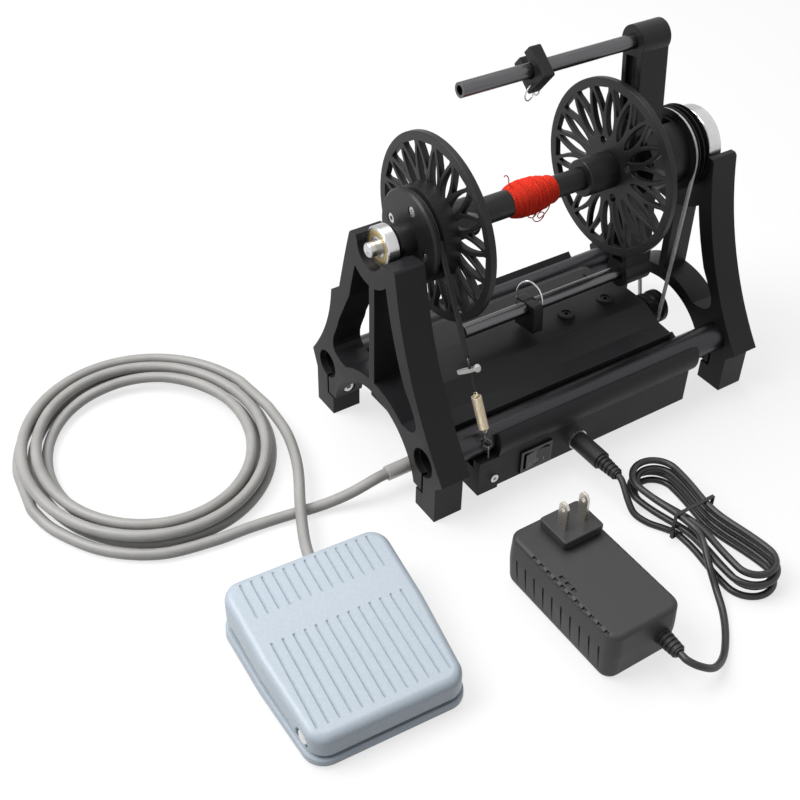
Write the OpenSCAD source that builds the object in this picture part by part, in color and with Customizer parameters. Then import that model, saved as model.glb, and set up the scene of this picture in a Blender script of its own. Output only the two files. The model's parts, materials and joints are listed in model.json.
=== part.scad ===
// Electric flyer spinner with its foot pedal and wall adapter.
// Millimetres. X runs left to right along the spindle, Y front to back, Z up.
// The origin is on the table, at the middle of the two end frames.

/* [End frames] */
// Width over the two end frames
frame_span = 229; // [215:1:260]
// Thickness of each end frame
frame_t = 18; // [16:0.5:20]
// How far the feet reach past the front and back of the box
foot_past = 1.5; // [0:0.5:6]
// Length of each foot, front to back
foot_l = 18; // [16:0.5:20]
// Height of the step above the feet, where the clamp slot runs
foot_h = 12; // [10:0.5:14]
// Height of the tip where the legs flare out over the feet
flare_h = 30; // [28:0.5:33]
// How far the legs flare out past the feet
flare_out = 6; // [3:0.5:9]
// Height of the spindle above the table
axis_h = 137; // [134:0.5:146]
// How far the spindle sits behind the middle of the frame
axis_y = 4.5; // [2:0.5:7]
// How far the arch stays clear of the feet
arch_in = 1.6; // [1:0.1:3]
// Height of the centre of the arch
arch_z = 4.6; // [3:0.2:5]
// Wall between the arch and the windows
arch_wall = 7.5; // [6:0.5:9]
// Width of the legs beside the windows
leg_w = 10.5; // [9:0.5:12]
// Width of the rib between the two windows
rib_w = 5; // [4:0.5:7]
// Height of the horns above the spindle axis
horn_up = 2.5; // [1.5:0.5:4]
// How far the mouth of each cradle opens out on each side
mouth_flare = 2; // [1:0.5:3]
// Width of the front horn on the left frame
left_front_horn = 13.4; // [11:0.2:15]
// Width of the rear horn on the left frame
left_rear_horn = 7.7; // [6:0.2:9]
// Width of both horns on the right frame
right_horn = 6.2; // [5:0.2:8]
// Wall under the left cradle
left_cradle_wall = 10; // [8:0.5:12]
// Wall under the right cradle
right_cradle_wall = 15.5; // [12:0.5:17]
// Width of the clamp slots in the feet
slot_w = 1.6; // [1.2:0.1:2]

/* [Cross rods] */
// How far inside the front and back of the box the cross rods run
rod_in = 10.8; // [10:0.2:12]
// Height of the cross rods
rod_h = 34; // [33:0.2:35.5]
// Outside diameter of the cross rods
rod_d = 17.4; // [16:0.2:18]
// Wall of the cross rods
rod_wall = 1.5; // [1:0.1:2.5]
// How far the rod ends sit inside the outer faces of the frames
rod_inset = 3; // [1:0.5:6]

/* [Base box] */
// Gap between the left frame and the box
box_gap_left = 24; // [20:0.5:28]
// Gap between the right frame and the box
box_gap_right = 29; // [26:0.5:32]
// Gap between the left frame and the left end of the tray
tray_gap = 7; // [5:0.5:9]
// Height of the underside of the box above the table
box_lift = 5; // [4:0.5:7]
// Depth of the box from front wall to back wall
box_depth = 121; // [119:0.5:123]
// Wall of the box
box_wall = 3; // [2.4:0.2:3.4]
// How far the middles of the rods sit outside the covered tray
tray_in = 7.7; // [7.2:0.1:8.7]
// Height of the rim that the cover sits on
rim_h = 40.5; // [39:0.5:42]
// Outside diameter of the clips round the rods
clip_d = 25.6; // [24:0.2:27]
// How far the clips run past the right end of the box
clip_past = 4.5; // [2:0.5:8]
// Height of the cover above its rim
cover_h = 10; // [9:0.5:11]
// Wall of the cover
cover_wall = 2; // [1.6:0.1:2.4]
// Outside diameter of the two screw bosses
boss_d = 10.5; // [9:0.5:12]
// Height of the two screw bosses above the cover
boss_up = 2.5; // [1.5:0.5:2.5]

/* [Motor and belt] */
// Diameter of the motor
motor_d = 33; // [28:0.5:34]
// Length of the motor
motor_l = 50; // [40:1:60]
// Height of the motor shaft
motor_h = 30; // [29.5:0.1:30.5]
// How far the motor shaft sits in front of the middle
motor_front = 3.5; // [2:0.5:5]
// Diameter of the motor shaft
shaft_d = 5; // [4:0.1:6]
// Diameter of the flanges of the motor pulley
pulley_d = 21; // [19:0.5:23]
// Width of the motor pulley
pulley_w = 13; // [10:0.5:13]
// Diameter of the round belt
belt_d = 2.4; // [2:0.1:2.4]
// Radius of the belt's middle on the motor pulley
belt_r_motor = 8.6; // [8:0.1:9]
// Radius of the belt's middle on the drive whorl
belt_r_whorl = 22.6; // [22:0.1:24]

/* [Flyer] */
// Clearance between the circle of the flyer rods and the top of the cover
flyer_clear = 17; // [16:0.5:20]
// Lean of the flyer from upright
flyer_tilt = 6; // [0:1:12]
// Diameter of the flyer rods
flyer_rod_d = 8; // [7:0.1:9]
// Bore of the hollow flyer rods
flyer_rod_bore = 5; // [4:0.2:6]
// Reach of the flyer rods from the arm to their free ends
flyer_reach = 112; // [100:1:118]
// Width of the flyer arm
arm_w = 14.6; // [13:0.2:16]
// Thickness of the flyer arm along the spindle
arm_t = 19; // [16:0.5:21]
// Diameter of the bosses at the ends of the arm
arm_boss_d = 17.4; // [16:0.2:19]
// Diameter of the hub of the flyer
hub_d = 39; // [36:0.5:41]
// Length of the hub between the arm and the whorl
hub_l = 12; // [10:0.5:13]
// Bore of the orifice
orifice_d = 9.5; // [8:0.5:12]
// Diameter of the flanges of the drive whorl
whorl_d = 48.6; // [48:0.2:52]
// Width of the drive whorl
whorl_w = 10; // [9.6:0.1:11]
// Thickness of the slider plates
slider_t = 7; // [5:0.5:9]
// Side of the square slider plates
slider_side = 18; // [16:0.5:18]
// Wire of the slider hooks
hook_wire = 1.2; // [1:0.1:1.6]
// Place of both sliders along the spindle
slider_x = -11.3; // [-30:0.1:10]

/* [Bobbin] */
// Diameter of the bobbin flanges
flange_d = 101.6; // [92:0.2:104]
// Thickness of the bobbin flanges
flange_t = 3.65; // [3:0.05:4.5]
// Width of the plain rim round each flange
rim_w = 7.3; // [5:0.1:9]
// Radius of the plain middle of each flange
heart_r = 25; // [24:0.5:27]
// Number of leaf openings in each flange
leaf_count = 18; // [14:1:20]
// Greatest width of a leaf opening
leaf_w = 6.2; // [4:0.1:6.6]
// Diameter of the bobbin tube
tube_d = 12.7; // [12:0.1:14]
// Diameter of the collars that hold the tube
collar_d = 21; // [18:0.5:24]
// Length of the collars
collar_l = 20.2; // [14:0.2:24]
// Diameter of the flyer spindle
spindle_d = 8; // [7.6:0.1:8]
// Diameter of the brake whorl
brake_d = 51; // [48:0.5:54]
// Width of the brake whorl
brake_w = 15.4; // [14:0.2:17]
// Circle of the four whorl screws
screw_circle = 32.8; // [30:0.2:34]
// Length of the yarn on the bobbin
yarn_l = 31; // [30:1:44]
// Thickest diameter of the wound yarn
yarn_fat = 18.4; // [18:0.2:27]
// Diameter of the wound yarn at its ends
yarn_thin = 14.2; // [14:0.2:16]

/* [Brake] */
// Diameter of the brake cord
brake_cord_d = 1.2; // [0.8:0.1:1.4]
// Outside diameter of the brake spring
spring_d = 5.6; // [5:0.1:7]
// Wire of the brake spring
spring_wire = 0.7; // [0.6:0.05:0.8]
// Number of coils in the brake spring
spring_coils = 15; // [8:1:16]
// Length of the brake spring's body
spring_l = 20; // [19:0.5:24]

/* [Pedal] */
// Place of the pedal's middle, left and right
pedal_x = -202.5; // [-210:0.5:-200]
// Place of the pedal's middle, front and back
pedal_y = -116.5; // [-122:0.5:-116]
// Turn of the pedal on the table
pedal_turn = -3.9; // [-6:0.1:0]
// Length of the pedal
pedal_l = 95; // [92:1:98]
// Width of the pedal at its front
pedal_front_w = 80; // [76:0.5:84]
// Width of the pedal at its back
pedal_rear_w = 88; // [84:0.5:92]
// Height of the pedal at its front
pedal_front_h = 20; // [19:0.5:23]
// Height of the pedal at its back
pedal_rear_h = 31; // [28:0.5:34]
// Height of the pedal's tray
pedal_tray_h = 9; // [8:0.5:10]
// Wall of the pedal
pedal_wall = 2.5; // [2:0.1:3]
// Number of grooves across the tread
groove_count = 13; // [7:1:13]

/* [Adapter] */
// Width of the adapter
adapter_w = 44; // [40:0.5:48]
// Length of the adapter
adapter_l = 82; // [78:0.5:88]
// Height of the adapter
adapter_h = 32; // [28:0.5:36]
// Distance between the two blades
blade_pitch = 12.7; // [12:0.1:13.5]
// Height of the blades above the plug block
blade_l = 16; // [14:0.5:18]
// Height of the raised plug block
block_h = 6; // [4:0.5:8]

/* [Hidden] */

$fn = 48;
eps = 0.01;
// Running gap round a turning or sliding shaft
run_gap = 0.05;
// Seat gap between parts that are pushed together
seat_gap = 0.03;
// Gap between soft or loose things and what they lie against
loose_gap = 0.3;

// ---- stations along the spindle, from the frames inward ----
frame_out_x = frame_span / 2;
frame_in_x = frame_out_x - frame_t;
// Left bearing, 8 x 22 x 7
small_od = 22;
small_w = 7;
left_bearing_x = -frame_out_x + 5.3;
// Right bearing, 25 x 42 x 9
big_id = 25;
big_od = 42;
big_w = 9;
right_bearing_x = frame_in_x + 3;
whorl_x = right_bearing_x - 4 - whorl_w;
belt_x = whorl_x + whorl_w / 6;
arm_x = whorl_x - hub_l - arm_t;
right_flange_x = arm_x - 8.4 - flange_t;
boss_x = left_bearing_x + small_w + 1.7;
brake_x = boss_x + 9.5;
left_flange_x = brake_x + brake_w;
band_x = brake_x + 4.5;
yarn_x = -28;

// ---- stations of the base ----
box_x0 = -frame_in_x + box_gap_left;
box_x1 = frame_in_x - box_gap_right;
tray_x0 = -frame_in_x + tray_gap;
box_y0 = -box_depth / 2;
clip_gap = 0.1;
rod_pitch = box_depth - 2 * rod_in;
rod_y = rod_pitch / 2;
foot_depth = box_depth + 2 * foot_past;
arch_r = foot_depth / 2 - foot_l - arch_in;
tray_depth = rod_pitch - 2 * tray_in;
flyer_r = axis_h - rim_h - cover_h - flyer_clear;

// ---------------------------------------------------------------- shapes

function unit(v) = v / norm(v);

// Points of a cubic curve from a to d
function bez(a, b, c, d, n) = [for (i = [0:n]) let (t = i / n, s = 1 - t)
    s * s * s * a + 3 * s * s * t * b + 3 * s * t * t * c + t * t * t * d];

// Points of an arc about c
function arc(c, r, a0, a1, n) = [for (i = [0:n]) let (w = a0 + (a1 - a0) * i / n)
    [c[0] + r * cos(w), c[1] + r * sin(w)]];

// One smooth step through the hand-chosen points p
function spline_at(p, i, t) = let (
    a = p[max(i - 1, 0)], b = p[i], c = p[i + 1], d = p[min(i + 2, len(p) - 1)])
    0.5 * (2 * b + (c - a) * t + (2 * a - 5 * b + 4 * c - d) * t * t
    + (3 * b - a - 3 * c + d) * t * t * t);
function spline(p, k) = [for (i = [0:len(p) - 2]) for (j = [0:k - 1])
    spline_at(p, i, j / k), p[len(p) - 1]];

// Least distance between points of a path that are one turn or more apart
function self_gap(p, turn) = min([for (i = [0:len(p) - 1])
    for (j = [i + round(turn * 0.6):1:len(p) - 1]) norm(p[i] - p[j])]);

// Round tube along the points p
module tube(p, r, sides, up = [0, 0, 1]) {
    n = len(p);
    pts = [for (i = [0:n - 1]) let (
        t = unit(p[min(i + 1, n - 1)] - p[max(i - 1, 0)]),
        a = unit(cross(t, up)), b = cross(a, t))
        for (k = [0:sides - 1]) let (w = 360 * k / sides)
        p[i] + r * (cos(w) * a + sin(w) * b)];
    walls = [for (i = [0:n - 2]) for (k = [0:sides - 1]) let (
        q = i * sides + k, e = i * sides + (k + 1) % sides)
        each [[q, q + sides, e], [e, q + sides, e + sides]]];
    start = [for (k = [1:sides - 2]) [0, k, k + 1]];
    end = [for (k = [1:sides - 2]) let (q = (n - 1) * sides) [q, q + k + 1, q + k]];
    polyhedron(points = pts, faces = concat(walls, start, end));
}

// Flat shape in the Y-Z plane, made thick along +X
module along_x(t) {
    rotate([90, 0, 90]) linear_extrude(t) children();
}

// Cylinder along +X
module rod_x(x, r, l, y = 0, z = 0) {
    translate([x, y, z]) rotate([0, 90, 0]) cylinder(r = r, h = l);
}

// Cylinder along +Y
module rod_y(y, r, l, x = 0, z = 0) {
    translate([x, y, z]) rotate([-90, 0, 0]) cylinder(r = r, h = l);
}

// Turned shape about the X axis: outline points are [x, radius]
module turned_x(outline) {
    rotate([0, 90, 0]) rotate_extrude()
        polygon([for (q = outline) [q[1], q[0]]]);
}

// Origin on the spindle axis
module at_axis() {
    translate([0, axis_y, axis_h]) children();
}

// Origin on the spindle axis, leaning with the flyer
module at_flyer() {
    at_axis() rotate([-flyer_tilt, 0, 0]) children();
}

// ---------------------------------------------------------------- end frames

// Outside of the legs, from the horn down to the flare, on the front side
function front_edge(cradle, horn, n, inset = 0) = let (
    top = [axis_y - cradle - horn + inset, axis_h + 1],
    tip = [-foot_depth / 2 - flare_out + inset, flare_h])
    bez(top, top + [-5, -40], tip + [24, 30], tip, n);

// The same on the back, where the leg steps out below a ledge
ledge_z = axis_h - 43;
ledge_out = 38.9;
ledge_rise = 7;
function rear_top(cradle, horn, n, inset = 0) = let (
    top = [axis_y + cradle + horn - inset, axis_h + 1],
    low = [axis_y + ledge_out - 8.7 - inset, ledge_z + ledge_rise / 2])
    bez(top, top + [4, -12], low + [-3.5, 13], low, n);
function rear_low(n, inset = 0) = let (
    top = [axis_y + ledge_out - inset, ledge_z - ledge_rise / 2],
    tip = [foot_depth / 2 + flare_out - 1.3 - inset, flare_h + 5])
    bez(top, top + [2, -23], tip + [-11, 15], tip, n);

module frame_outline(cradle, front_horn, rear_horn) {
    horn_top = axis_h + horn_up;
    polygon(concat(
        front_edge(cradle, front_horn, 14),
        [[-foot_depth / 2, flare_h - 6], [-foot_depth / 2, 0],
        [foot_depth / 2, 0], [foot_depth / 2, flare_h - 6]],
        [for (i = [12:-1:0]) rear_low(12)[i]],
        [for (i = [10:-1:0]) rear_top(cradle, rear_horn, 10)[i]],
        [[axis_y + cradle + rear_horn - 1.5, horn_top],
        [axis_y - cradle - front_horn + 1.5, horn_top]]));
}

// Lower outer corner of a window, rounded
function window_corner(side) = let (
    leg = side < 0 ? 12 - rod_y : rod_y - 9.5, low = arch_z + arch_r - 1.5)
    bez([leg, rod_h + 29], [side * (rod_y - 5), rod_h + 20],
        [side * (rod_y - 5), low], [side * (rod_y - 20), low], 8);

module window(side, cradle, horn, wall) {
    rib = 1.5 + side * rib_w / 2;
    leg = side < 0 ? [for (i = [0:8]) front_edge(cradle, horn, 14, leg_w)[i]]
        : concat([for (i = [0:10]) rear_top(cradle, horn, 10, leg_w)[i]],
        [for (i = [3:4]) rear_low(12, leg_w)[i]]);
    difference() {
        polygon(concat(leg, window_corner(side),
            [[rib, arch_z + arch_r - 1.5], [rib, axis_h]]));
        translate([axis_y, axis_h]) circle(cradle + wall);
        translate([0, arch_z]) circle(arch_r + arch_wall);
    }
}

module frame_plate(cradle, front_horn, rear_horn, wall) {
    inner = foot_depth / 2 - foot_l;
    difference() {
        frame_outline(cradle, front_horn, rear_horn);
        translate([0, arch_z]) circle(arch_r, $fn = 96);
        translate([-inner, -1]) square([2 * inner, foot_h + 1]);
        window(-1, cradle, front_horn, wall);
        window(1, cradle, rear_horn, wall);
        translate([axis_y, axis_h]) circle(cradle);
        translate([axis_y, axis_h]) polygon([[0.4 - cradle, -1], [cradle - 0.4, -1],
            [cradle + mouth_flare, horn_up + 1], [-cradle - mouth_flare, horn_up + 1]]);
        for (s = [-1, 1]) {
            translate([s * rod_y - slot_w / 2, foot_h])
                square([slot_w, rod_h - foot_h]);
            translate([s < 0 ? -rod_y - slot_w / 2 : inner - 3, foot_h - eps])
                square([rod_y - inner + 3 + slot_w / 2, slot_w]);
        }
    }
}

clamp_z = 19;
clamp_head = 7;
clamp_shank = 4;
module frame(cradle, front_horn, rear_horn, wall) {
    difference() {
        along_x(frame_t) frame_plate(cradle, front_horn, rear_horn, wall);
        for (s = [-1, 1]) rod_x(-1, rod_d / 2 + seat_gap, frame_t + 2, s * rod_y, rod_h);
        for (s = [-1, 1]) translate([frame_t / 2, s * rod_y, clamp_z])
            rotate([s * 90, 0, 0]) {
                translate([0, 0, -9]) cylinder(d = clamp_shank + 2 * seat_gap, h = 14);
                translate([0, 0, 5]) cylinder(d = clamp_head + 0.6, h = 8);
            }
    }
}

module left_frame() {
    color("#1b1b1d") translate([-frame_out_x, 0, 0])
        frame(small_od / 2 + run_gap, left_front_horn, left_rear_horn, left_cradle_wall);
}

module right_frame() {
    color("#1b1b1d") translate([frame_in_x, 0, 0])
        frame(big_od / 2 + run_gap, right_horn, right_horn, right_cradle_wall);
}

// ---------------------------------------------------------------- cross rods

module cross_rod(y) {
    l = frame_span - 2 * rod_inset;
    difference() {
        rod_x(-l / 2, rod_d / 2, l, y, rod_h);
        rod_x(-l / 2 - 1, rod_d / 2 - rod_wall, l + 2, y, rod_h);
    }
}

module front_rod() {
    color("#232326") cross_rod(-rod_y);
}

module rear_rod() {
    color("#232326") cross_rod(rod_y);
}

// Socket screw along -Z from the underside of its head
module socket_screw(head_d, head_h, shank_d, shank_l) {
    difference() {
        cylinder(d = head_d, h = head_h);
        translate([0, 0, head_h * 0.4]) cylinder(d = head_d * 0.5, h = head_h, $fn = 6);
    }
    translate([0, 0, -shank_l]) cylinder(d = shank_d, h = shank_l + eps);
}

boss_screw_x = [17.5, 47.4];
cover_screw_d = 5.5;
bracket_screw_z = 14.3;
module socket_screws() {
    color("silver") {
        for (x = [-frame_out_x + frame_t / 2, frame_in_x + frame_t / 2]) for (s = [-1, 1])
            translate([x, s * rod_y, clamp_z]) rotate([s * 90, 0, 0])
                translate([0, 0, 5]) socket_screw(clamp_head, 3.4, clamp_shank, 13.5);
        for (x = boss_screw_x) translate([x, -motor_front, cover_top_z])
            socket_screw(cover_screw_d, 1.8, 3, 3);
        translate([box_x0 - 3.5, box_y0 - 1.5, bracket_screw_z]) rotate([90, 0, 0])
            socket_screw(5, 1.6, 2.5, 10);
    }
}

// ---------------------------------------------------------------- base box

tray_y = tray_depth / 2;
cover_top_z = rim_h + cover_h;

// Clip round a rod, open at the top
module clip(y, side) {
    lip = asin((rim_h - rod_h - 0.6) / (clip_d / 2));
    difference() {
        translate([y, rod_h]) circle(d = clip_d);
        translate([y, rod_h]) circle(rod_d / 2 + clip_gap);
        translate([y, rod_h]) polygon(concat([[0, 0]],
            arc([0, 0], clip_d, side < 0 ? lip : 40, side < 0 ? 140 : 180 - lip, 6)));
    }
}

// Section of the box through the rods
module box_section() {
    difference() {
        translate([box_y0, box_lift]) square([box_depth, rod_h - box_lift - 6]);
        translate([box_y0 + box_wall, box_lift + box_wall])
            square([box_depth - 2 * box_wall, rod_h]);
        for (s = [-1, 1]) translate([s * rod_y, rod_h]) circle(d = clip_d - 2 * eps);
    }
    for (s = [-1, 1]) clip(s * rod_y, s);
    for (s = [-1, 1]) translate([s < 0 ? -tray_y : tray_y - box_wall, rod_h - 5])
        square([box_wall, rim_h - rod_h + 5]);
}

// Flat end of the box, closed up to the rim
module box_end() {
    difference() {
        union() {
            translate([box_y0, box_lift]) square([box_depth, rod_h - box_lift - 6]);
            translate([-tray_y, box_lift]) square([tray_depth, rim_h - box_lift]);
        }
        for (s = [-1, 1]) translate([s * rod_y, rod_h]) circle(rod_d / 2 + clip_gap);
    }
}

rocker_x = -46;
rocker_z = 14.5;
jack_x = -16.5;
jack_z = 13.5;
jack_d = 8;
plug_in = 13.8;
plug_y = plug_in - tray_y;
plug_z = 13.5;
plug_d = 8.4;
bezel_w = 21.5;
bezel_h = 15.5;
cut_w = 19.8;
cut_h = 13;
motor_nose_d = 13;

module base_box() {
    color("#19191b") difference() {
        union() {
            translate([box_x0, 0, 0]) along_x(box_x1 - box_x0) box_section();
            translate([box_x0, 0, 0]) along_x(box_wall) difference() {
                box_end();
                translate([-tray_y + box_wall, box_lift + box_wall])
                    square([tray_depth - 2 * box_wall, rim_h]);
            }
            translate([box_x1 - box_wall, 0, 0]) along_x(box_wall) box_end();
            translate([box_x1, 0, 0]) along_x(clip_past)
                for (s = [-1, 1]) clip(s * rod_y, s);
            translate([tray_x0, -tray_y, box_lift])
                cube([box_x0 - tray_x0 + eps, tray_depth, box_wall]);
            for (s = [-1, 1]) translate([tray_x0, s < 0 ? -tray_y : tray_y - box_wall, box_lift])
                cube([box_x0 - tray_x0 + box_wall, box_wall, rim_h - box_lift]);
            translate([tray_x0, -tray_y, box_lift])
                cube([box_wall, tray_depth, rim_h - box_lift]);
        }
        translate([rocker_x - cut_w / 2, box_y0 - 1, rocker_z - cut_h / 2])
            cube([cut_w, box_wall + 2, cut_h]);
        rod_y(box_y0 - 1, jack_d / 2 + seat_gap, box_wall + 2, jack_x, jack_z);
        rod_x(tray_x0 - 1, jack_d / 2 + seat_gap, box_wall + 2, plug_y, plug_z);
        rod_x(box_x1 - box_wall - 1, motor_nose_d / 2 + seat_gap, box_wall + 2,
            -motor_front, motor_h);
        for (s = [-1, 1])
            rod_x(tray_x0 - 1, rod_d / 2 + clip_gap, box_x1 - tray_x0 + 2, s * rod_y, rod_h);
    }
}

// Top line of the cover, front to back, as [y, height over the rim]
crest_y = 9;
function cover_line(inset) = [[-tray_y + inset, 2 - inset * 0.6],
    [-tray_y + 11, 3 - inset], [-17, cover_h - inset], [crest_y - inset, cover_h - inset],
    [crest_y + 0.5 - inset, 5.5 - inset], [tray_y - 6, 4.5 - inset],
    [tray_y - inset, 1.5 - inset * 0.4]];

module cover_section(inset) {
    polygon(concat(cover_line(inset), [[tray_y - inset, -inset], [-tray_y + inset, -inset]]));
}

module base_cover() {
    color("#1d1d20") difference() {
        union() {
            translate([tray_x0, 0, rim_h]) along_x(box_x1 - tray_x0) cover_section(0);
            for (x = boss_screw_x) translate([x, -motor_front, rim_h + cover_h - cover_wall])
                cylinder(d = boss_d, h = cover_wall + boss_up);
            translate([59, 18, rim_h + 3]) cube([7, 12, 3.2]);
        }
        translate([tray_x0 + cover_wall, 0, rim_h])
            along_x(box_x1 - tray_x0 - 2 * cover_wall) cover_section(cover_wall);
        for (x = boss_screw_x) translate([x, -motor_front, 0]) {
            translate([0, 0, cover_top_z]) cylinder(d = cover_screw_d + 0.4, h = boss_up + 1);
            translate([0, 0, rim_h]) cylinder(d = 3 + 2 * seat_gap, h = cover_h + 1);
        }
        translate([band_x, axis_y + brake_line_r, rim_h])
            cylinder(d = brake_cord_d + 2 * seat_gap, h = cover_h, $fn = 16);
    }
}

// Small plate left of the box that the brake hooks on to
bracket_w = 13.4;
bracket_top = 28;
module side_bracket() {
    color("#1b1b1d") difference() {
        union() {
            translate([box_x0 - bracket_w, box_y0 - 1.5, box_lift])
                cube([bracket_w, 5.5, bracket_top - box_lift]);
            translate([box_x0 - bracket_w, box_y0, box_lift])
                cube([bracket_w, -box_y0 - tray_y, 17]);
        }
        rod_y(box_y0 - 2, 1.25 + seat_gap, 12, box_x0 - 3.5, bracket_screw_z);
        rod_x(box_x0 - bracket_w - 1, rod_d / 2 + clip_gap, bracket_w + 2, -rod_y, rod_h);
        translate([band_anchor[0], band_anchor[1], bracket_top - 6])
            cylinder(d = link_wire + 0.3 + 2 * seat_gap, h = 8);
    }
}

module pedal_jack() {
    color("#242428") difference() {
        union() {
            rod_x(tray_x0 - 0.5, jack_d / 2, 0.5 + box_wall + eps, plug_y, plug_z);
            translate([tray_x0 + box_wall, plug_y - 5.5, plug_z - 5.4]) cube([14, 11, 10.8]);
        }
        rod_x(tray_x0 - 2, 1.75 + run_gap, 17, plug_y, plug_z);
    }
}

nut_r = 6.2;
nut_t = 2;
module dc_jack() {
    color("silver") difference() {
        union() {
            rod_y(box_y0 - nut_t, jack_d / 2, nut_t + box_wall + eps, jack_x, jack_z);
            rod_y(box_y0 - nut_t, nut_r, nut_t, jack_x, jack_z);
            rod_y(box_y0 + box_wall, 5.4, 9, jack_x, jack_z);
        }
        rod_y(box_y0 - nut_t - 1, 2.75 + run_gap, nut_t + 10, jack_x, jack_z);
    }
}

rocker_half = 8;
rocker_thick = 10.4;
rocker_pivot_y = box_y0 + 2.5;
rocker_pin_r = 1.2;
module switch_bezel() {
    color("#161618") difference() {
        union() {
            translate([rocker_x - bezel_w / 2, box_y0 - 1.5, rocker_z - bezel_h / 2])
                cube([bezel_w, 1.5, bezel_h]);
            translate([rocker_x - cut_w / 2 + seat_gap, box_y0 - eps,
                rocker_z - cut_h / 2 + seat_gap])
                cube([cut_w - 2 * seat_gap, 16, cut_h - 2 * seat_gap]);
        }
        translate([rocker_x - rocker_half - 1, box_y0 - 3, rocker_z - rocker_thick / 2 - 0.2])
            cube([2 * rocker_half + 2, 16, rocker_thick + 0.4]);
        translate([rocker_x, rocker_pivot_y, rocker_z - rocker_thick / 2 - 0.8])
            cylinder(r = rocker_pin_r + run_gap, h = rocker_thick + 1.6);
    }
}

module rocker() {
    color("#202024") translate([rocker_x, rocker_pivot_y, rocker_z]) {
        translate([0, 0, -rocker_thick / 2]) linear_extrude(rocker_thick)
            polygon(concat([[-rocker_half, -4.9], [0, -3.8], [rocker_half, -4.9]],
            arc([0, 0], 5.4, -10, 190, 12)));
        translate([0, 0, -rocker_thick / 2 - 0.7])
            cylinder(r = rocker_pin_r, h = rocker_thick + 1.4);
    }
}

// ---------------------------------------------------------------- motor and belt

shaft_in = 8;
module motor() {
    x1 = box_x1 - box_wall;
    color("#9a9a9c") translate([0, -motor_front, motor_h]) difference() {
        union() {
            rod_x(x1 - motor_l, motor_d / 2 - 1, motor_l);
            rod_x(x1 - motor_l + 1, motor_d / 2, motor_l - 4);
            rod_x(x1 - eps, motor_nose_d / 2, 2.5);
        }
        rod_x(x1 - shaft_in, shaft_d / 2 + run_gap, shaft_in + 5);
    }
}

pulley_root = belt_r_motor - belt_d / 2 - 0.25;
module motor_pulley() {
    x0 = belt_x - pulley_w / 2 - 0.5;
    g = belt_d / 2 + 0.3;
    color("#17171a") translate([0, -motor_front, motor_h]) {
        difference() {
            turned_x([[x0, 0], [x0, pulley_d / 2], [belt_x - g - 1.4, pulley_d / 2],
                [belt_x - g, pulley_root + 0.6], [belt_x - g + 0.8, pulley_root],
                [belt_x + g - 0.8, pulley_root], [belt_x + g, pulley_root + 0.6],
                [belt_x + g + 1.4, pulley_d / 2], [x0 + pulley_w, pulley_d / 2],
                [x0 + pulley_w, 0]]);
            rod_x(x0 + pulley_w - 2, shaft_d / 2, 3);
        }
        rod_x(box_x1 - box_wall - shaft_in + 0.5, shaft_d / 2,
            x0 + 1 - box_x1 + box_wall + shaft_in);
    }
}

board_l = 60;
board_w = 50;
board_t = 1.6;
post_in = 3;
post_d = 5;
post_h = 3;
module controller_board() {
    color("#1f5c3a") translate([-board_l, -board_w * 0.6, box_lift + box_wall]) {
        for (x = [post_in, board_l - post_in], y = [post_in, board_w - post_in])
            translate([x, y, 0]) cylinder(d = post_d, h = post_h, $fn = 24);
        translate([0, 0, post_h]) cube([board_l, board_w, board_t]);
        translate([8, 12, 4.6 - eps]) cube([12, 12, 9]);
        translate([30, 30, 4.6 - eps]) cylinder(d = 10, h = 14);
        translate([44, 8, 4.6 - eps]) cube([10, 8, 8]);
    }
}

// Angle at which the two straight strands of the belt leave the pulleys
belt_dy = axis_y + motor_front;
belt_dz = axis_h - motor_h;
belt_len = norm([belt_dy, belt_dz]);
belt_dir = atan2(belt_dz, belt_dy);
belt_open = asin((belt_r_whorl - belt_r_motor) / belt_len);
module belt_arc(y, z, r, a0, sweep) {
    translate([belt_x, y, z]) rotate([90, 0, 90]) rotate([0, 0, a0])
        rotate_extrude(angle = sweep) translate([r, 0]) circle(d = belt_d, $fn = 24);
}

module drive_belt() {
    strand = sqrt(belt_len * belt_len - pow(belt_r_whorl - belt_r_motor, 2));
    color("#e8ecee") {
        belt_arc(axis_y, axis_h, belt_r_whorl, belt_dir - 90 - belt_open, 180 + 2 * belt_open);
        belt_arc(-motor_front, motor_h, belt_r_motor, belt_dir + 90 + belt_open,
            180 - 2 * belt_open);
        for (s = [-1, 1]) {
            w = belt_dir + s * (90 + belt_open);
            translate([belt_x, -motor_front + belt_r_motor * cos(w),
                motor_h + belt_r_motor * sin(w)])
                rotate([belt_dir - 90 + s * belt_open, 0, 0])
                translate([0, 0, -0.2]) cylinder(d = belt_d - 0.06, h = strand + 0.4, $fn = 24);
        }
    }
}

// ---------------------------------------------------------------- bearings

// Outer ring with its two shields; x is the left face
module bearing_outer(x, id, od, w) {
    land = (od - id) / 2;
    ri = id / 2;
    at_axis() turned_x([[x, od / 2 - 0.6], [x + 0.6, od / 2], [x + w - 0.6, od / 2],
        [x + w, od / 2 - 0.6], [x + w, ri + land * 0.72], [x + w - 0.3, ri + land * 0.72],
        [x + w - 0.3, ri + land * 0.34], [x + w - 0.7, ri + land * 0.34],
        [x + w - 0.7, ri + land * 0.72], [x + 0.7, ri + land * 0.72],
        [x + 0.7, ri + land * 0.34], [x + 0.3, ri + land * 0.34],
        [x + 0.3, ri + land * 0.72], [x, ri + land * 0.72]]);
}

module bearing_inner(x, id, od, w) {
    land = (od - id) / 2;
    at_axis() turned_x([[x, id / 2 + 0.3], [x + 0.3, id / 2], [x + w - 0.3, id / 2],
        [x + w, id / 2 + 0.3], [x + w, id / 2 + land * 0.28], [x, id / 2 + land * 0.28]]);
}

module left_bearing_outer() {
    color("silver") bearing_outer(left_bearing_x, spindle_d, small_od, small_w);
}

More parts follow.
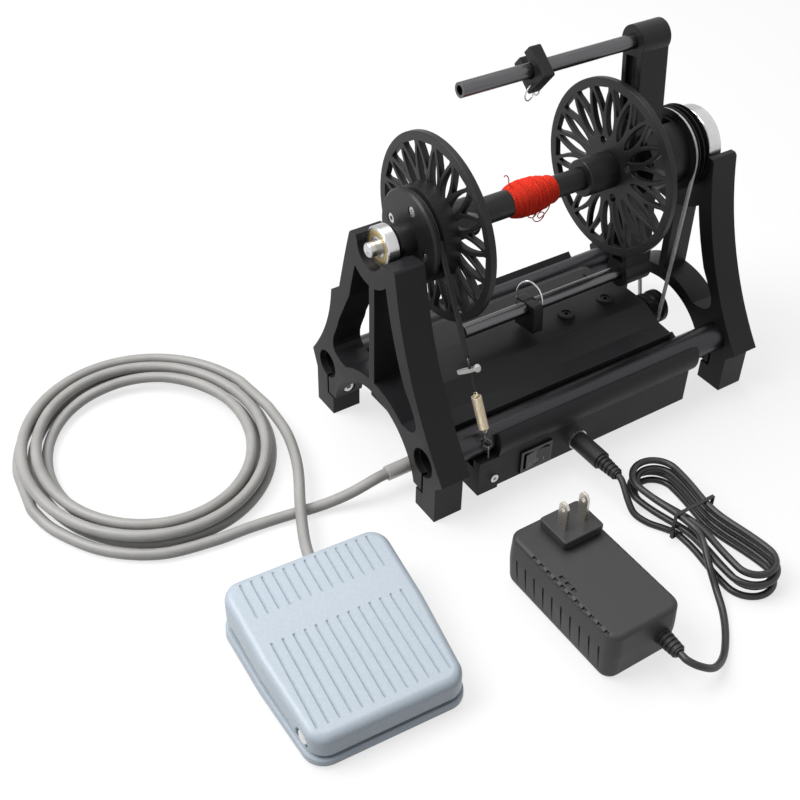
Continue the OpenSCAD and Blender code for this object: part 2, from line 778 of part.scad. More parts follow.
module left_bearing_inner() {
    color("silver") difference() {
        bearing_inner(left_bearing_x, spindle_d, small_od, small_w);
        at_axis() rod_x(left_bearing_x - 1, spindle_d / 2 + seat_gap, small_w + 2);
    }
}

module right_bearing_outer() {
    color("silver") bearing_outer(right_bearing_x, big_id, big_od, big_w);
}

module right_bearing_inner() {
    color("silver") difference() {
        bearing_inner(right_bearing_x, big_id, big_od, big_w);
        at_axis() rod_x(right_bearing_x - 1, big_id / 2 + seat_gap, big_w + 2);
    }
}

// Ring of balls between the rings of a bearing
module balls(x, id, od, w, n) {
    land = (od - id) / 2;
    at_axis() for (i = [0:n - 1]) rotate([360 * i / n, 0, 0])
        translate([x + w / 2, id / 2 + land / 2, 0]) sphere(d = land * 0.42, $fn = 24);
}

module bearing_balls() {
    color("silver") {
        balls(left_bearing_x, spindle_d, small_od, small_w, 7);
        balls(right_bearing_x, big_id, big_od, big_w, 14);
    }
}

// ---------------------------------------------------------------- flyer

spindle_tip = -frame_out_x;
spindle_seat = 11.5;
module spindle() {
    color("#b9bbbd") at_axis() difference() {
        rod_x(spindle_tip, spindle_d / 2, arm_x + spindle_seat - spindle_tip);
        rod_x(spindle_tip - 1, spindle_d / 2 - 1.4, 16);
    }
}

exit_w = 10;
module flyer_arm() {
    bore = flyer_rod_d / 2 + seat_gap;
    color("#1a1a1c") at_flyer() difference() {
        union() {
            translate([arm_x, -arm_w / 2, -flyer_r]) cube([arm_t, arm_w, 2 * flyer_r]);
            for (s = [-1, 1]) rod_x(arm_x, arm_boss_d / 2, arm_t, 0, s * flyer_r);
            rod_x(arm_x + 4, hub_d / 2, arm_t + hub_l - 4);
        }
        for (s = [-1, 1]) {
            rod_x(arm_x - 1, bore, arm_t - 2, 0, s * flyer_r);
            translate([arm_x - 1, -arm_w / 2 + 3, s * (hub_d / 2 + 24) - 18])
                cube([4, arm_w - 6, 36]);
            translate([arm_x + arm_t + 1, -4.5, s > 0 ? big_id / 2 - 3 : -hub_d / 2 - 1])
                cube([exit_w - 1, 9, hub_d / 2 - big_id / 2 + 4]);
        }
        rod_x(arm_x - 1, spindle_d / 2 + seat_gap, spindle_seat + 1);
        rod_x(arm_x + spindle_seat + 1, big_id / 2 + seat_gap, arm_t + hub_l);
    }
}

orifice_x0 = arm_x + spindle_seat + 1.2;
module orifice_tube() {
    x1 = right_bearing_x + big_w + 1.5;
    color("#1f1f22") at_flyer() difference() {
        union() {
            rod_x(orifice_x0, big_id / 2, x1 - orifice_x0);
            rod_x(whorl_x + whorl_w, 15, right_bearing_x - whorl_x - whorl_w);
        }
        rod_x(arm_x + arm_t + 2, orifice_d / 2, x1);
        for (s = [-1, 1]) translate([arm_x + arm_t + 2, -4, s > 0 ? 0 : -big_id])
            cube([exit_w - 3, 8, big_id]);
    }
}

module flyer_rod(side) {
    x0 = arm_x - flyer_reach;
    color("#2a2a2e") at_flyer() difference() {
        rod_x(x0, flyer_rod_d / 2, flyer_reach + arm_t - 3, 0, side * flyer_r);
        rod_x(x0 - 1, flyer_rod_bore / 2, flyer_reach + arm_t, 0, side * flyer_r);
    }
}

module upper_rod() {
    flyer_rod(1);
}

module lower_rod() {
    flyer_rod(-1);
}

// Three grooves side by side; the belt runs in the left one
whorl_root = belt_r_whorl - belt_d / 2 - 0.25;
module drive_whorl() {
    pitch = whorl_w / 3;
    lip = 0.04;
    rib = 0.32;
    color("#1a1a1c") at_flyer() difference() {
        turned_x(concat([[whorl_x, 0], [whorl_x, whorl_d / 2]],
            [for (i = [0:2]) let (x = whorl_x + i * pitch + rib / 2, w = pitch - rib) each [
            [x, whorl_d / 2], [x + lip, whorl_root], [x + w - lip, whorl_root],
            [x + w, whorl_d / 2]]],
            [[whorl_x + whorl_w, whorl_d / 2], [whorl_x + whorl_w, 0]]));
        rod_x(whorl_x - 1, big_id / 2 + seat_gap, whorl_w + 2);
    }
}

// Square plate that snaps on to a flyer rod; side is 1 above, -1 below
module slider(side) {
    color("#141416") at_flyer() translate([slider_x, 0, side * flyer_r])
        rotate([side > 0 ? 0 : 180, 0, 0]) difference() {
            rotate([45, 0, 0]) translate([-slider_t / 2, -slider_side / 2, -slider_side / 2])
                cube([slider_t, slider_side, slider_side]);
            rod_x(-slider_t, flyer_rod_d / 2 + run_gap, 2 * slider_t);
            rotate([45, 0, 0]) translate([-slider_t, -flyer_rod_d * 0.4, 0])
                cube([2 * slider_t, flyer_rod_d * 0.8, slider_side]);
            for (y = [-hook_r, hook_r]) translate([0, y, -slider_side])
                cylinder(d = hook_wire + 2 * seat_gap, h = slider_side - 5);
        }
}

hook_r = 6;
hook_drop = 10.5;
module hook(side) {
    color("silver") at_flyer() translate([slider_x, 0, side * flyer_r])
        rotate([side > 0 ? 0 : 180, 0, 0]) {
            for (y = [-hook_r, hook_r]) translate([0, y, -hook_drop])
                cylinder(d = hook_wire, h = hook_drop - 5.2);
            translate([0, 0, -hook_drop]) rotate([90, 0, 90]) rotate([0, 0, 180])
                rotate_extrude(angle = 180) translate([hook_r, 0])
                circle(d = hook_wire, $fn = 16);
        }
}

module upper_slider() {
    slider(1);
}

module upper_hook() {
    hook(1);
}

module lower_slider() {
    slider(-1);
}

module lower_hook() {
    hook(-1);
}

// ---------------------------------------------------------------- bobbin

leaf_r0 = heart_r;
leaf_r1 = flange_d / 2 - rim_w - 0.8;
// Leaf opening: round at its inner end, pointed at its outer end
function leaf_side(s) = [for (t = s > 0 ? [0:0.125:1] : [0.875:-0.125:0.125])
    [leaf_r0 + (leaf_r1 - leaf_r0) * t, s * leaf_w / 2 * sqrt(t) * (1 - t) / 0.385]];

module lace() {
    step = 360 / leaf_count;
    tri = flange_d / 2 - rim_w;
    for (i = [0:leaf_count - 1]) rotate(i * step) {
        polygon(concat(leaf_side(1), leaf_side(-1)));
        rotate(step / 2) polygon([[tri - 5.8, 0], [tri, 3.2], [tri + 0.4, 0], [tri, -3.2]]);
    }
}

// Flange disc with its collar; side is the side the collar is on
module flange(x, side, lace_turn) {
    at_axis() difference() {
        union() {
            translate([x, 0, 0]) along_x(flange_t) difference() {
                circle(d = flange_d, $fn = 96);
                rotate(lace_turn) lace();
            }
            rod_x(side > 0 ? x + flange_t - eps : x - collar_l, collar_d / 2, collar_l + eps);
        }
        rod_x(x - collar_l - 1, tube_d / 2 + seat_gap, 2 * collar_l + flange_t + 2);
    }
}

whorl_screw_turn = 10;
module left_flange() {
    color("#1c1c1f") difference() {
        flange(left_flange_x, 1, 8);
        at_axis() for (i = [0:3]) rotate([whorl_screw_turn + 90 * i, 0, 0])
            rod_x(left_flange_x - 1, 1.5 + seat_gap, flange_t + 2, screw_circle / 2);
    }
}

module right_flange() {
    color("#1c1c1f") difference() {
        union() {
            flange(right_flange_x, -1, 2);
            at_axis() difference() {
                rod_x(right_flange_x + flange_t - eps, 9, 7.4);
                rod_x(right_flange_x, tube_d / 2 + seat_gap, 20);
            }
        }
        at_axis() for (i = [0:3]) rotate([65 + 90 * i, 0, 0])
            rod_x(right_flange_x - 1, 2.2, flange_t + 2, screw_circle / 2);
    }
}

module bobbin_tube() {
    x0 = boss_x;
    x1 = right_flange_x + flange_t + 7.4;
    color("#2a2a2e") at_axis() difference() {
        rod_x(x0, tube_d / 2, x1 - x0);
        rod_x(x0 - 1, spindle_d / 2 + run_gap, x1 - x0 + 2);
    }
}

module brake_whorl() {
    r = brake_d / 2;
    color("#1c1c1f") at_axis() difference() {
        turned_x([[boss_x, 0], [boss_x, 9], [brake_x, 9], [brake_x, r - 1],
            [brake_x + 1, r], [band_x - 1.8, r], [band_x - 1, r - 3], [band_x + 1, r - 3],
            [band_x + 1.8, r], [left_flange_x, r], [left_flange_x, 0]]);
        rod_x(boss_x - 1, tube_d / 2 + seat_gap, 40);
        for (i = [0:3]) rotate([whorl_screw_turn + 90 * i, 0, 0]) {
            rod_x(brake_x - 1, 1.5 + seat_gap, brake_w + 2, screw_circle / 2);
            rod_x(brake_x - 1, 3, 4, screw_circle / 2);
        }
    }
}

module whorl_screws() {
    color("silver") at_axis() for (i = [0:3]) rotate([whorl_screw_turn + 90 * i, 0, 0])
        translate([brake_x + 3, screw_circle / 2, 0]) rotate([0, -90, 0])
        socket_screw(5.5, 2.6, 3, brake_w + flange_t - 3);
}

// Radius of the yarn at t along it, fat near the left and thin at the right
function yarn_r(t) = yarn_thin / 2 + (yarn_fat - yarn_thin) / 2
    * pow(sin(180 * pow(t, 0.75)), 0.8);
module yarn() {
    color("#e5352b") at_axis() difference() {
        turned_x(concat([for (i = [0:20]) [yarn_x + yarn_l * i / 20, yarn_r(i / 20)]],
            [[yarn_x + yarn_l, 0], [yarn_x, 0]]));
        rod_x(yarn_x - 1, tube_d / 2 + seat_gap, yarn_l + 2);
    }
}

// ---------------------------------------------------------------- brake

brake_line_r = brake_d / 2 - 3 + loose_gap + brake_cord_d / 2;
link_r = 2.2;
link_wire = 0.9;
band_anchor = [box_x0 - 7, box_y0, bracket_top + 7.5];
// Where the front strand leaves the whorl
band_reach = [band_anchor[1] - axis_y, band_anchor[2] - axis_h];
band_angle = atan2(band_reach[1], band_reach[0]) - acos(brake_line_r / norm(band_reach));
band_leave = [band_x, axis_y + brake_line_r * cos(band_angle),
    axis_h + brake_line_r * sin(band_angle)];
brake_dir = unit(band_anchor - band_leave);
brake_line = norm(band_anchor - band_leave);
// Distances down the front strand
ring_at = 0.56 * brake_line;
tie_at = 0.6 * brake_line;
spring_at = brake_line - spring_l - 12.15;

// Origin at a distance down the front strand, with +Z along it
module on_strand(s) {
    p = band_leave + s * brake_dir;
    pitch = acos(brake_dir[2]);
    yaw = atan2(brake_dir[1], brake_dir[0]);
    translate(p) rotate([0, pitch, yaw]) children();
}

module brake_cord() {
    tail_z = rim_h + 3;
    sweep = 360 + band_angle;
    thin = brake_cord_d - 0.04;
    color("#131315") {
        on_strand(-0.1) cylinder(d = thin, h = ring_at - 2.5, $fn = 16);
        translate([band_x, axis_y, axis_h]) rotate([90, 0, 90])
            rotate_extrude(angle = sweep) translate([brake_line_r, 0])
            circle(d = brake_cord_d, $fn = 16);
        translate([band_x, axis_y + brake_line_r, tail_z])
            cylinder(d = thin, h = axis_h - tail_z + 0.1, $fn = 16);
        on_strand(ring_at + 2.6) cylinder(d = brake_cord_d, h = spring_at - ring_at - 5, $fn = 16);
    }
}

// Closed wire ring standing on the strand
module link(s, r, wire, turn) {
    on_strand(s) rotate([90, 0, turn]) rotate_extrude() translate([r, 0])
        circle(d = wire, $fn = 16);
}

module brake_links() {
    color("silver") {
        link(ring_at, 2, 1, 30);
        link(brake_line - 6.9, link_r, link_wire, 45);
        link(brake_line - 3.45, link_r, link_wire, -45);
        translate(band_anchor) rotate([90, 0, 45]) rotate_extrude() translate([link_r, 0])
            circle(d = link_wire, $fn = 16);
        translate([band_anchor[0], band_anchor[1], bracket_top - 5.5])
            cylinder(d = link_wire + 0.3, h = band_anchor[2] - link_r - bracket_top + 5.5);
    }
}

tie_w = 2.6;
tie_l = 9;
tie_head = 4.4;
module cable_tie() {
    color("white") on_strand(tie_at) difference() {
        union() {
            cylinder(d = 4, h = 2.6);
            translate([-tie_w / 2, -tie_l, 0]) cube([tie_w, tie_l - 1, tie_w]);
            translate([-tie_head / 2, -tie_l - 2, -0.8]) cube([tie_head, 4, 4.2]);
        }
        translate([0, 0, -1]) cylinder(d = brake_cord_d + 0.3, h = 6);
    }
}

spring_r = (spring_d - spring_wire) / 2;
spring_path = concat([[0, 0, -2.4], [0, 0, -1.4]],
    [for (i = [0:8 * spring_coils]) let (w = 45 * i)
    [spring_r * cos(w) * min(1, i / 4), spring_r * sin(w), spring_l * i / (8 * spring_coils)]],
    [[0, 0, spring_l + 1.4], [0, 0, spring_l + 2.4]]);
module brake_spring() {
    color("#c9b184") on_strand(spring_at) tube(spring_path, spring_wire / 2, 6, [0.3, 0.2, 1]);
}

// ---------------------------------------------------------------- pedal

pedal_corner = 9;
tread_angle = atan2(pedal_rear_h - pedal_front_h, pedal_l);
// Rounded outline of the pedal, drawn in by inset
function pedal_outline(inset) = let (
    f = pedal_front_w / 2 - inset, b = pedal_rear_w / 2 - inset,
    h = pedal_l / 2 - inset, r = pedal_corner - inset)
    concat(arc([f - r, -h + r], r, -90, 0, 6), arc([b - r, h - r], r, 0, 90, 6),
    arc([-b + r, h - r], r, 90, 180, 6), arc([-f + r, -h + r], r, 180, 270, 6));

module at_pedal() {
    translate([pedal_x, pedal_y, 0]) rotate([0, 0, pedal_turn]) children();
}

feet_h = 1.5;
pin_y = -pedal_l / 2 + 12;
pin_z = pedal_tray_h + 3.5;
pin_r = 2;
cheek_w = 4;
cheek_x = pedal_front_w / 2 - pedal_wall - 1.2 - cheek_w;
module pedal_base() {
    color("#7b8894") at_pedal() difference() {
        union() {
            translate([0, 0, feet_h]) linear_extrude(pedal_tray_h - feet_h)
                polygon(pedal_outline(0));
            for (s = [-1, 1]) translate([s > 0 ? cheek_x : -cheek_x - cheek_w, pin_y - 5, feet_h])
                cube([cheek_w, 10, pin_z + 3.4 - feet_h]);
        }
        difference() {
            translate([0, 0, feet_h + 2]) linear_extrude(pedal_tray_h)
                polygon(pedal_outline(pedal_wall));
            for (s = [-1, 1]) translate([s > 0 ? cheek_x : -cheek_x - cheek_w, pin_y - 5, 0])
                cube([cheek_w, 10, 40]);
            translate([0, pedal_l / 2 - 18, 0]) cylinder(d = 13, h = feet_h + 3);
        }
        rod_x(-pedal_front_w / 2, pin_r + seat_gap, pedal_front_w, pin_y, pin_z);
        rod_y(pedal_l / 2 - 6, pedal_cord_d / 2 + 0.2, 12, tail_x, tail_z);
        translate([tail_x - pedal_cord_d / 2 - 0.2, pedal_l / 2 - 6, tail_z])
            cube([pedal_cord_d + 0.4, 12, 20]);
    }
}

tread_gap = 3;
// Space under the tread plane, lowered by drop
module under_tread(drop) {
    translate([0, -pedal_l / 2, pedal_front_h - drop]) rotate([tread_angle, 0, 0])
        translate([-60, -20, -80]) cube([120, pedal_l + 50, 80]);
}

module pedal_cover() {
    edge = 5;
    skirt_z = pedal_tray_h + tread_gap;
    color("#93a3b1") at_pedal() difference() {
        intersection() {
            union() {
                translate([0, 0, skirt_z]) linear_extrude(40) polygon(pedal_outline(0));
            }
            under_tread(0);
        }
        intersection() {
            translate([0, 0, skirt_z - 1]) linear_extrude(40) polygon(pedal_outline(pedal_wall));
            under_tread(pedal_wall);
        }
        pin_slots();
        tread_grooves();
        translate([tail_x - pedal_cord_d / 2 - 0.6, pedal_l / 2 - 6, 0])
            cube([pedal_cord_d + 1.2, 12, tail_z + pedal_cord_d / 2 + tread_gap + 0.8]);
    }
    pin_ears();
}

// Ears of the cover that hang on the pin, just inside the skirt
module pin_ears() {
    ear = cheek_x - 0.4 - 3.5;
    color("#93a3b1") at_pedal() difference() {
        for (s = [-1, 1]) translate([s > 0 ? ear : -ear - 3.5, pin_y - 4, pin_z - 3.6])
            cube([3.5, 8, pedal_front_h - pin_z + 3.6 - 1.5]);
        rod_x(-pedal_front_w / 2, pin_r + run_gap, pedal_front_w, pin_y, pin_z);
    }
}

module pin_slots() {
    rod_x(-pedal_front_w / 2 - 1, 3.6, pedal_front_w + 2, pin_y, pin_z);
}

groove_w = 1.8;
groove_deep = 1;
module tread_grooves() {
    pitch = (pedal_front_w - 12) / (groove_count - 1);
    translate([0, -pedal_l / 2, pedal_front_h]) rotate([tread_angle, 0, 0])
        for (i = [0:groove_count - 1]) {
            x = (i - (groove_count - 1) / 2) * pitch;
            for (y = [[7, 56], [70, 92]]) translate([x - groove_w / 2, y[0], -groove_deep])
                cube([groove_w, y[1] - y[0], 5]);
        }
}

module pedal_pin() {
    color("silver") at_pedal() {
        rod_x(-pedal_front_w / 2 + 3.2, pin_r, pedal_front_w - 6.4, pin_y, pin_z);
        for (s = [-1, 1]) rod_x(s > 0 ? pedal_front_w / 2 - 3.2 : -pedal_front_w / 2 + 1.4,
            3.2, 1.8, pin_y, pin_z);
    }
}

spring_seat_z = feet_h + 3;
under_z = pedal_front_h - pedal_wall / cos(tread_angle)
    + (pedal_l - 18) * tan(tread_angle);
module pedal_spring() {
    top = under_z - 0.9;
    color("silver") at_pedal() translate([0, pedal_l / 2 - 18, spring_seat_z]) difference() {
        cylinder(d = 11, h = top - spring_seat_z);
        translate([0, 0, -1]) cylinder(d = 9, h = 40);
    }
}

module micro_switch() {
    color("#2b2b2e") at_pedal() translate([-14, -6, feet_h + 2]) {
        cube([28, 16, 15.5]);
        translate([14, 8, 15.5 - eps]) cylinder(d = 4, h = 2.6);
    }
}

module pedal_feet() {
    color("#222224") at_pedal() for (x = [-1, 1], y = [-1, 1])
        translate([x * (pedal_front_w / 2 - 12), y * (pedal_l / 2 - 12), 0])
        cylinder(d = 10, h = feet_h);
}

// ---------------------------------------------------------------- pedal cord

pedal_cord_d = 6.2;
tail_x = 9;
tail_z = 10.1;
floor_z = pedal_cord_d / 2 + 0.1;
coil_c = [-222, 68];
coil_a = 72;
coil_b = 80;
coil_step = 8;
coil_turns = 4.5;
coil_rings = 24;
coil_climb = tail_z - floor_z;

module pedal_plug() {
    color("silver") difference() {
        union() {
            rod_x(-123.3, plug_d / 2, tray_x0 - 0.5 + 123.3, plug_y, plug_z);
            rod_x(tray_x0 - 1, 1.75, 14, plug_y, plug_z);
        }
        rod_x(-124, pedal_cord_d / 2 + 0.1, 8, plug_y, plug_z);
    }
}

// Spirals inward for half the turns, then outward one layer higher
function coil_fold(s, n) = min(s, n - s);
function coil_lift(s, n) = let (t = (s - n / 2 + 0.25) / 0.5) t < 0 ? 0 : t > 1 ? 1
    : (1 - cos(180 * t)) / 2;
coil_path = concat([[coil_c[0] - coil_a, coil_c[1] - pedal_cord_d, floor_z]],
    [for (i = [0:coil_turns * coil_rings]) let (
        s = i / coil_rings, k = coil_step * coil_fold(s, coil_turns), w = 180 - 360 * s)
        [coil_c[0] + (coil_a - k) * cos(w), coil_c[1] + (coil_b - k) * sin(w),
        floor_z + coil_climb * coil_lift(s, coil_turns)]],
    [[coil_c[0] + coil_a, coil_c[1] - pedal_cord_d, tail_z]]);
echo(coil_gap = self_gap(coil_path, coil_rings) - pedal_cord_d);

lead_route = [[-116.3, plug_y, plug_z], [-121, plug_y, plug_z], [-127, plug_y, plug_z], [-133, -28, 12.4],
    [-146, -26, 8], [-162, -22, 4], [-182, -18, 3.2], [-202, -15.5, 3.2],
    [-222, -14, 3.2], [-250, -7.5, 3.2], [-273.5, 10.5, 3.2], [-289, 36, 3.2],
    [-294, 55, 3.2], [-294, 61.8, 3.2]];
tail_route = [[-150, 61.8, 10.1], [-150, 55, 10.1], [-152, 32, 10.1], [-160, 6, 10.1],
    [-174, -22, 10.1], [-184, -44, 10.1], [-188.6, -58, 10.1], [-190.1, -66, 10.1],
    [-190.5, -72, 10.1]];

module pedal_cord_lead() {
    color("#9b9b9a") tube(spline(lead_route, 3), pedal_cord_d / 2, 8);
}

module pedal_cord_coil() {
    color("#9b9b9a") tube(coil_path, pedal_cord_d / 2, 6);
}

module pedal_cord_tail() {
    color("#9b9b9a") tube(spline(tail_route, 3), pedal_cord_d / 2, 8);
}

// ---------------------------------------------------------------- adapter

adapter_x = -84;
adapter_y = -153.2;
module at_adapter() {
    translate([adapter_x, adapter_y, 0]) children();
}

split_z = adapter_h * 0.52;
module adapter_outline(inset) {
    w = adapter_w / 2 - inset;
    l = adapter_l / 2 - inset;
    c = 5 - inset / 2;
    polygon(concat(arc([w - c, -l + c], c, -90, 0, 5), [[w, l - 10], [w - 14, l]],
        arc([-w + c, l - c], c, 90, 180, 5), arc([-w + c, -l + c], c, 180, 270, 5)));
}

relief_x = 10.5;
relief_z = 16;
module adapter_lower() {
    color("#202022") at_adapter() difference() {
        linear_extrude(split_z) adapter_outline(0);
        for (i = [0:7]) translate([-adapter_w / 2 - 1, -24 + 8 * i, 5])
            cube([1.8, 1.6, split_z - 8]);
        rod_y(-adapter_l / 2 - 1, 4 + seat_gap, 9, relief_x, relief_z);
    }
}

block_y = 25;
blade_y = 25.5;
blade_t = 1.5;
blade_w = 6.35;
module adapter_upper() {
    color("#202022") at_adapter() difference() {
        union() {
            translate([0, 0, split_z]) linear_extrude(adapter_h - split_z - 2)
                adapter_outline(0.4);
            translate([0, 0, adapter_h - 2 - eps]) linear_extrude(2 + eps)
                adapter_outline(1.4);
            translate([-17, block_y - 13, adapter_h - eps]) cube([34, 27, block_h]);
        }
        for (s = [-1, 1]) translate([s * blade_pitch / 2 - blade_t / 2 - seat_gap + 6.5,
            blade_y - blade_w / 2 - seat_gap, adapter_h + block_h - 5])
            cube([blade_t + 2 * seat_gap, blade_w + 2 * seat_gap, 6]);
        rod_y(-adapter_l / 2 - 1, 4 + seat_gap, 9, relief_x, relief_z);
    }
}

module plug_blades() {
    color("#c9b98a") at_adapter() for (s = [-1, 1])
        translate([s * blade_pitch / 2 - blade_t / 2 + 6.5, blade_y, adapter_h + block_h - 5])
        rotate([90, 0, 90]) linear_extrude(blade_t) difference() {
            polygon([[-blade_w / 2, 0], [blade_w / 2, 0], [blade_w / 2, blade_l + 2.5],
                [blade_w / 2 - 1.6, blade_l + 5], [1.6 - blade_w / 2, blade_l + 5],
                [-blade_w / 2, blade_l + 2.5]]);
            translate([0, blade_l + 1]) circle(r = 1.5);
        }
}

// Ribbed sleeve along -Y from y, from radius r0 down to r1
module relief(x, y, z, l, r0, r1) {
    n = 5;
    step = l / n;
    translate([x, y, z]) rotate([90, 0, 0]) difference() {
        union() {
            cylinder(r1 = r0 - 1, r2 = r1 - 0.6, h = l);
            for (i = [0:n - 1]) translate([0, 0, i * step])
                cylinder(r = r0 + (r1 - r0) * i / n, h = step * 0.6);
        }
        translate([0, 0, -1]) cylinder(r = dc_cord_d / 2 + seat_gap, h = l + 2);
    }
}

dc_cord_d = 3.8;
dc_plug_l = 20;
dc_relief_l = 14;
dc_relief_y = box_y0 - nut_t - loose_gap - dc_plug_l;
adapter_relief_y = adapter_y - adapter_l / 2;
module cord_reliefs() {
    color("#1a1a1c") {
        relief(jack_x, dc_relief_y, jack_z, dc_relief_l, 4.4, 3.4);
        relief(adapter_x + relief_x, adapter_relief_y, relief_z, 12, 4.6, 3.6);
        translate([adapter_x + relief_x, adapter_relief_y + 7, relief_z]) rotate([90, 0, 0])
            difference() {
                cylinder(r = 4, h = 7 + eps);
                translate([0, 0, -1]) cylinder(r = dc_cord_d / 2 + seat_gap, h = 9);
            }
    }
}

module dc_plug() {
    color("#1a1a1c") {
        difference() {
            rod_y(dc_relief_y, 5.5, dc_plug_l, jack_x, jack_z);
            rod_y(dc_relief_y - 1, dc_cord_d / 2 + seat_gap, 5, jack_x, jack_z);
        }
        difference() {
            rod_y(dc_relief_y + dc_plug_l - eps, 2.75, 9, jack_x, jack_z);
            rod_y(dc_relief_y + dc_plug_l, 1.1, 10, jack_x, jack_z);
        }
    }
}

// ---------------------------------------------------------------- adapter cord

hank_c = [0, -146];
hank_w = 15;
hank_l = 50;
hank_pinch = 5;
hank_step = 4.5;
hank_turns = 4;
hank_rings = 24;
hank_layer = 4.4;
hank_z = dc_cord_d / 2 + 0.1;
// One loop with round ends, from the middle of its left run; q counts its rings
function loop_at(q, w, st) = q < 2 ? [-w, -st * q / 2]
    : q < 10 ? [w * cos(180 + 22.5 * (q - 2)), -st + w * sin(180 + 22.5 * (q - 2))]
    : q < 14 ? [w, st * (q - 12) / 2]
    : q < 22 ? [w * cos(22.5 * (q - 14)), st + w * sin(22.5 * (q - 14))]
    : [-w, st * (24 - q) / 2];
// Draws a loop in at the waist
function drawn_in(v) = [hank_c[0] + v[0] - sign(v[0]) * hank_pinch * exp(-pow(v[1] / 22, 2)),
    hank_c[1] + v[1]];
// Folds in and out, one loop to a layer, and climbs along the left run
function hank_fold(s) = min(s % 2, 2 - s % 2);
function ease(v) = v < 0 ? 0 : v > 1 ? 1 : (1 - cos(180 * v)) / 2;
function hank_lift(s) = hank_layer * (ease((s - 1) * 6 + 0.5) + ease((s - 2) * 6 + 0.5)
    + ease((s - 3) * 6 + 0.5));
hank_path = concat([[hank_c[0] - hank_w + hank_pinch, hank_c[1] + dc_cord_d, hank_z]],
    [for (i = [0:hank_turns * hank_rings]) let (s = i / hank_rings,
        v = drawn_in(loop_at(i % hank_rings, hank_w - hank_step * hank_fold(s), hank_l - hank_w)))
        [v[0], v[1], hank_z + hank_lift(s)]],
    [[hank_c[0] - hank_w + hank_pinch, hank_c[1] - dc_cord_d, hank_z + 3 * hank_layer]]);
echo(hank_gap = self_gap(hank_path, hank_rings) - dc_cord_d);

dc_lead_route = [[-16.5, -78.8, 13.5], [-16.5, -96.8, 13.5], [-17.5, -102.5, 12.2],
    [-19.8, -110, 7.6], [-20.6, -117, 3.4], [-18, -125, 2], [-14, -132, 2],
    [-10.6, -138.2, 2], [-10, -142.2, 2]];
dc_tail_route = [[-10, -149.8, 15.2], [-10.8, -154, 15.2], [-14.5, -162, 14.6],
    [-19, -171, 11], [-22.5, -181, 5], [-28, -192, 2.2], [-37, -203, 2], [-48, -212.5, 3],
    [-60, -217.5, 8], [-69.5, -216, 14], [-73.5, -211, 16], [-73.5, -206.2, 16],
    [-73.5, -188, 16]];

module dc_lead() {
    color("#161618") tube(spline(dc_lead_route, 3), dc_cord_d / 2, 8);
}

module dc_hank() {
    color("#161618") tube(hank_path, dc_cord_d / 2, 6);
}

module dc_tail() {
    color("#161618") tube(spline(dc_tail_route, 3), dc_cord_d / 2, 8);
}

// Twist tie round the waist of the hank
module hank_tie() {
    w = hank_w - hank_pinch * exp(-pow(8 / 22, 2)) + dc_cord_d / 2 + 1.1;
    h = hank_z + 3 * hank_layer + dc_cord_d / 2 + 0.6;
    color("#1a1a1c") translate([hank_c[0], hank_c[1] + 7, 0]) {
        difference() {
            translate([-w, -1, 0]) cube([2 * w, 2, h]);
            translate([-w + 0.6, -2, 0.05]) cube([2 * w - 1.2, 4, h - 0.65]);
        }
        translate([-w - 5, -1, h * 0.4]) cube([5 + eps, 2, 0.8]);
    }
}

// ---------------------------------------------------------------- the part

left_frame();
right_frame();
front_rod();
rear_rod();
socket_screws();
base_box();
base_cover();
side_bracket();
pedal_jack();
dc_jack();
switch_bezel();
rocker();
motor();
motor_pulley();
controller_board();
left_bearing_outer();
left_bearing_inner();
right_bearing_outer();
right_bearing_inner();
bearing_balls();
drive_belt();
spindle();
flyer_arm();
orifice_tube();
upper_rod();
lower_rod();
drive_whorl();
upper_slider();
upper_hook();
lower_slider();
lower_hook();
bobbin_tube();
left_flange();
right_flange();
brake_whorl();
whorl_screws();
yarn();
brake_cord();
brake_links();
cable_tie();
brake_spring();
pedal_base();
pedal_cover();
pedal_pin();
pedal_spring();
micro_switch();
pedal_feet();
pedal_plug();
pedal_cord_lead();
pedal_cord_coil();
pedal_cord_tail();
adapter_lower();
adapter_upper();
plug_blades();
cord_reliefs();
dc_plug();
dc_lead();
dc_hank();
hank_tie();
dc_tail();
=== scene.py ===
"""The electric yarn spinner in the studio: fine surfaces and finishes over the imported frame.

Lengths are worked out in millimetres and scaled to metres when a mesh is made.
"""

import json
import math

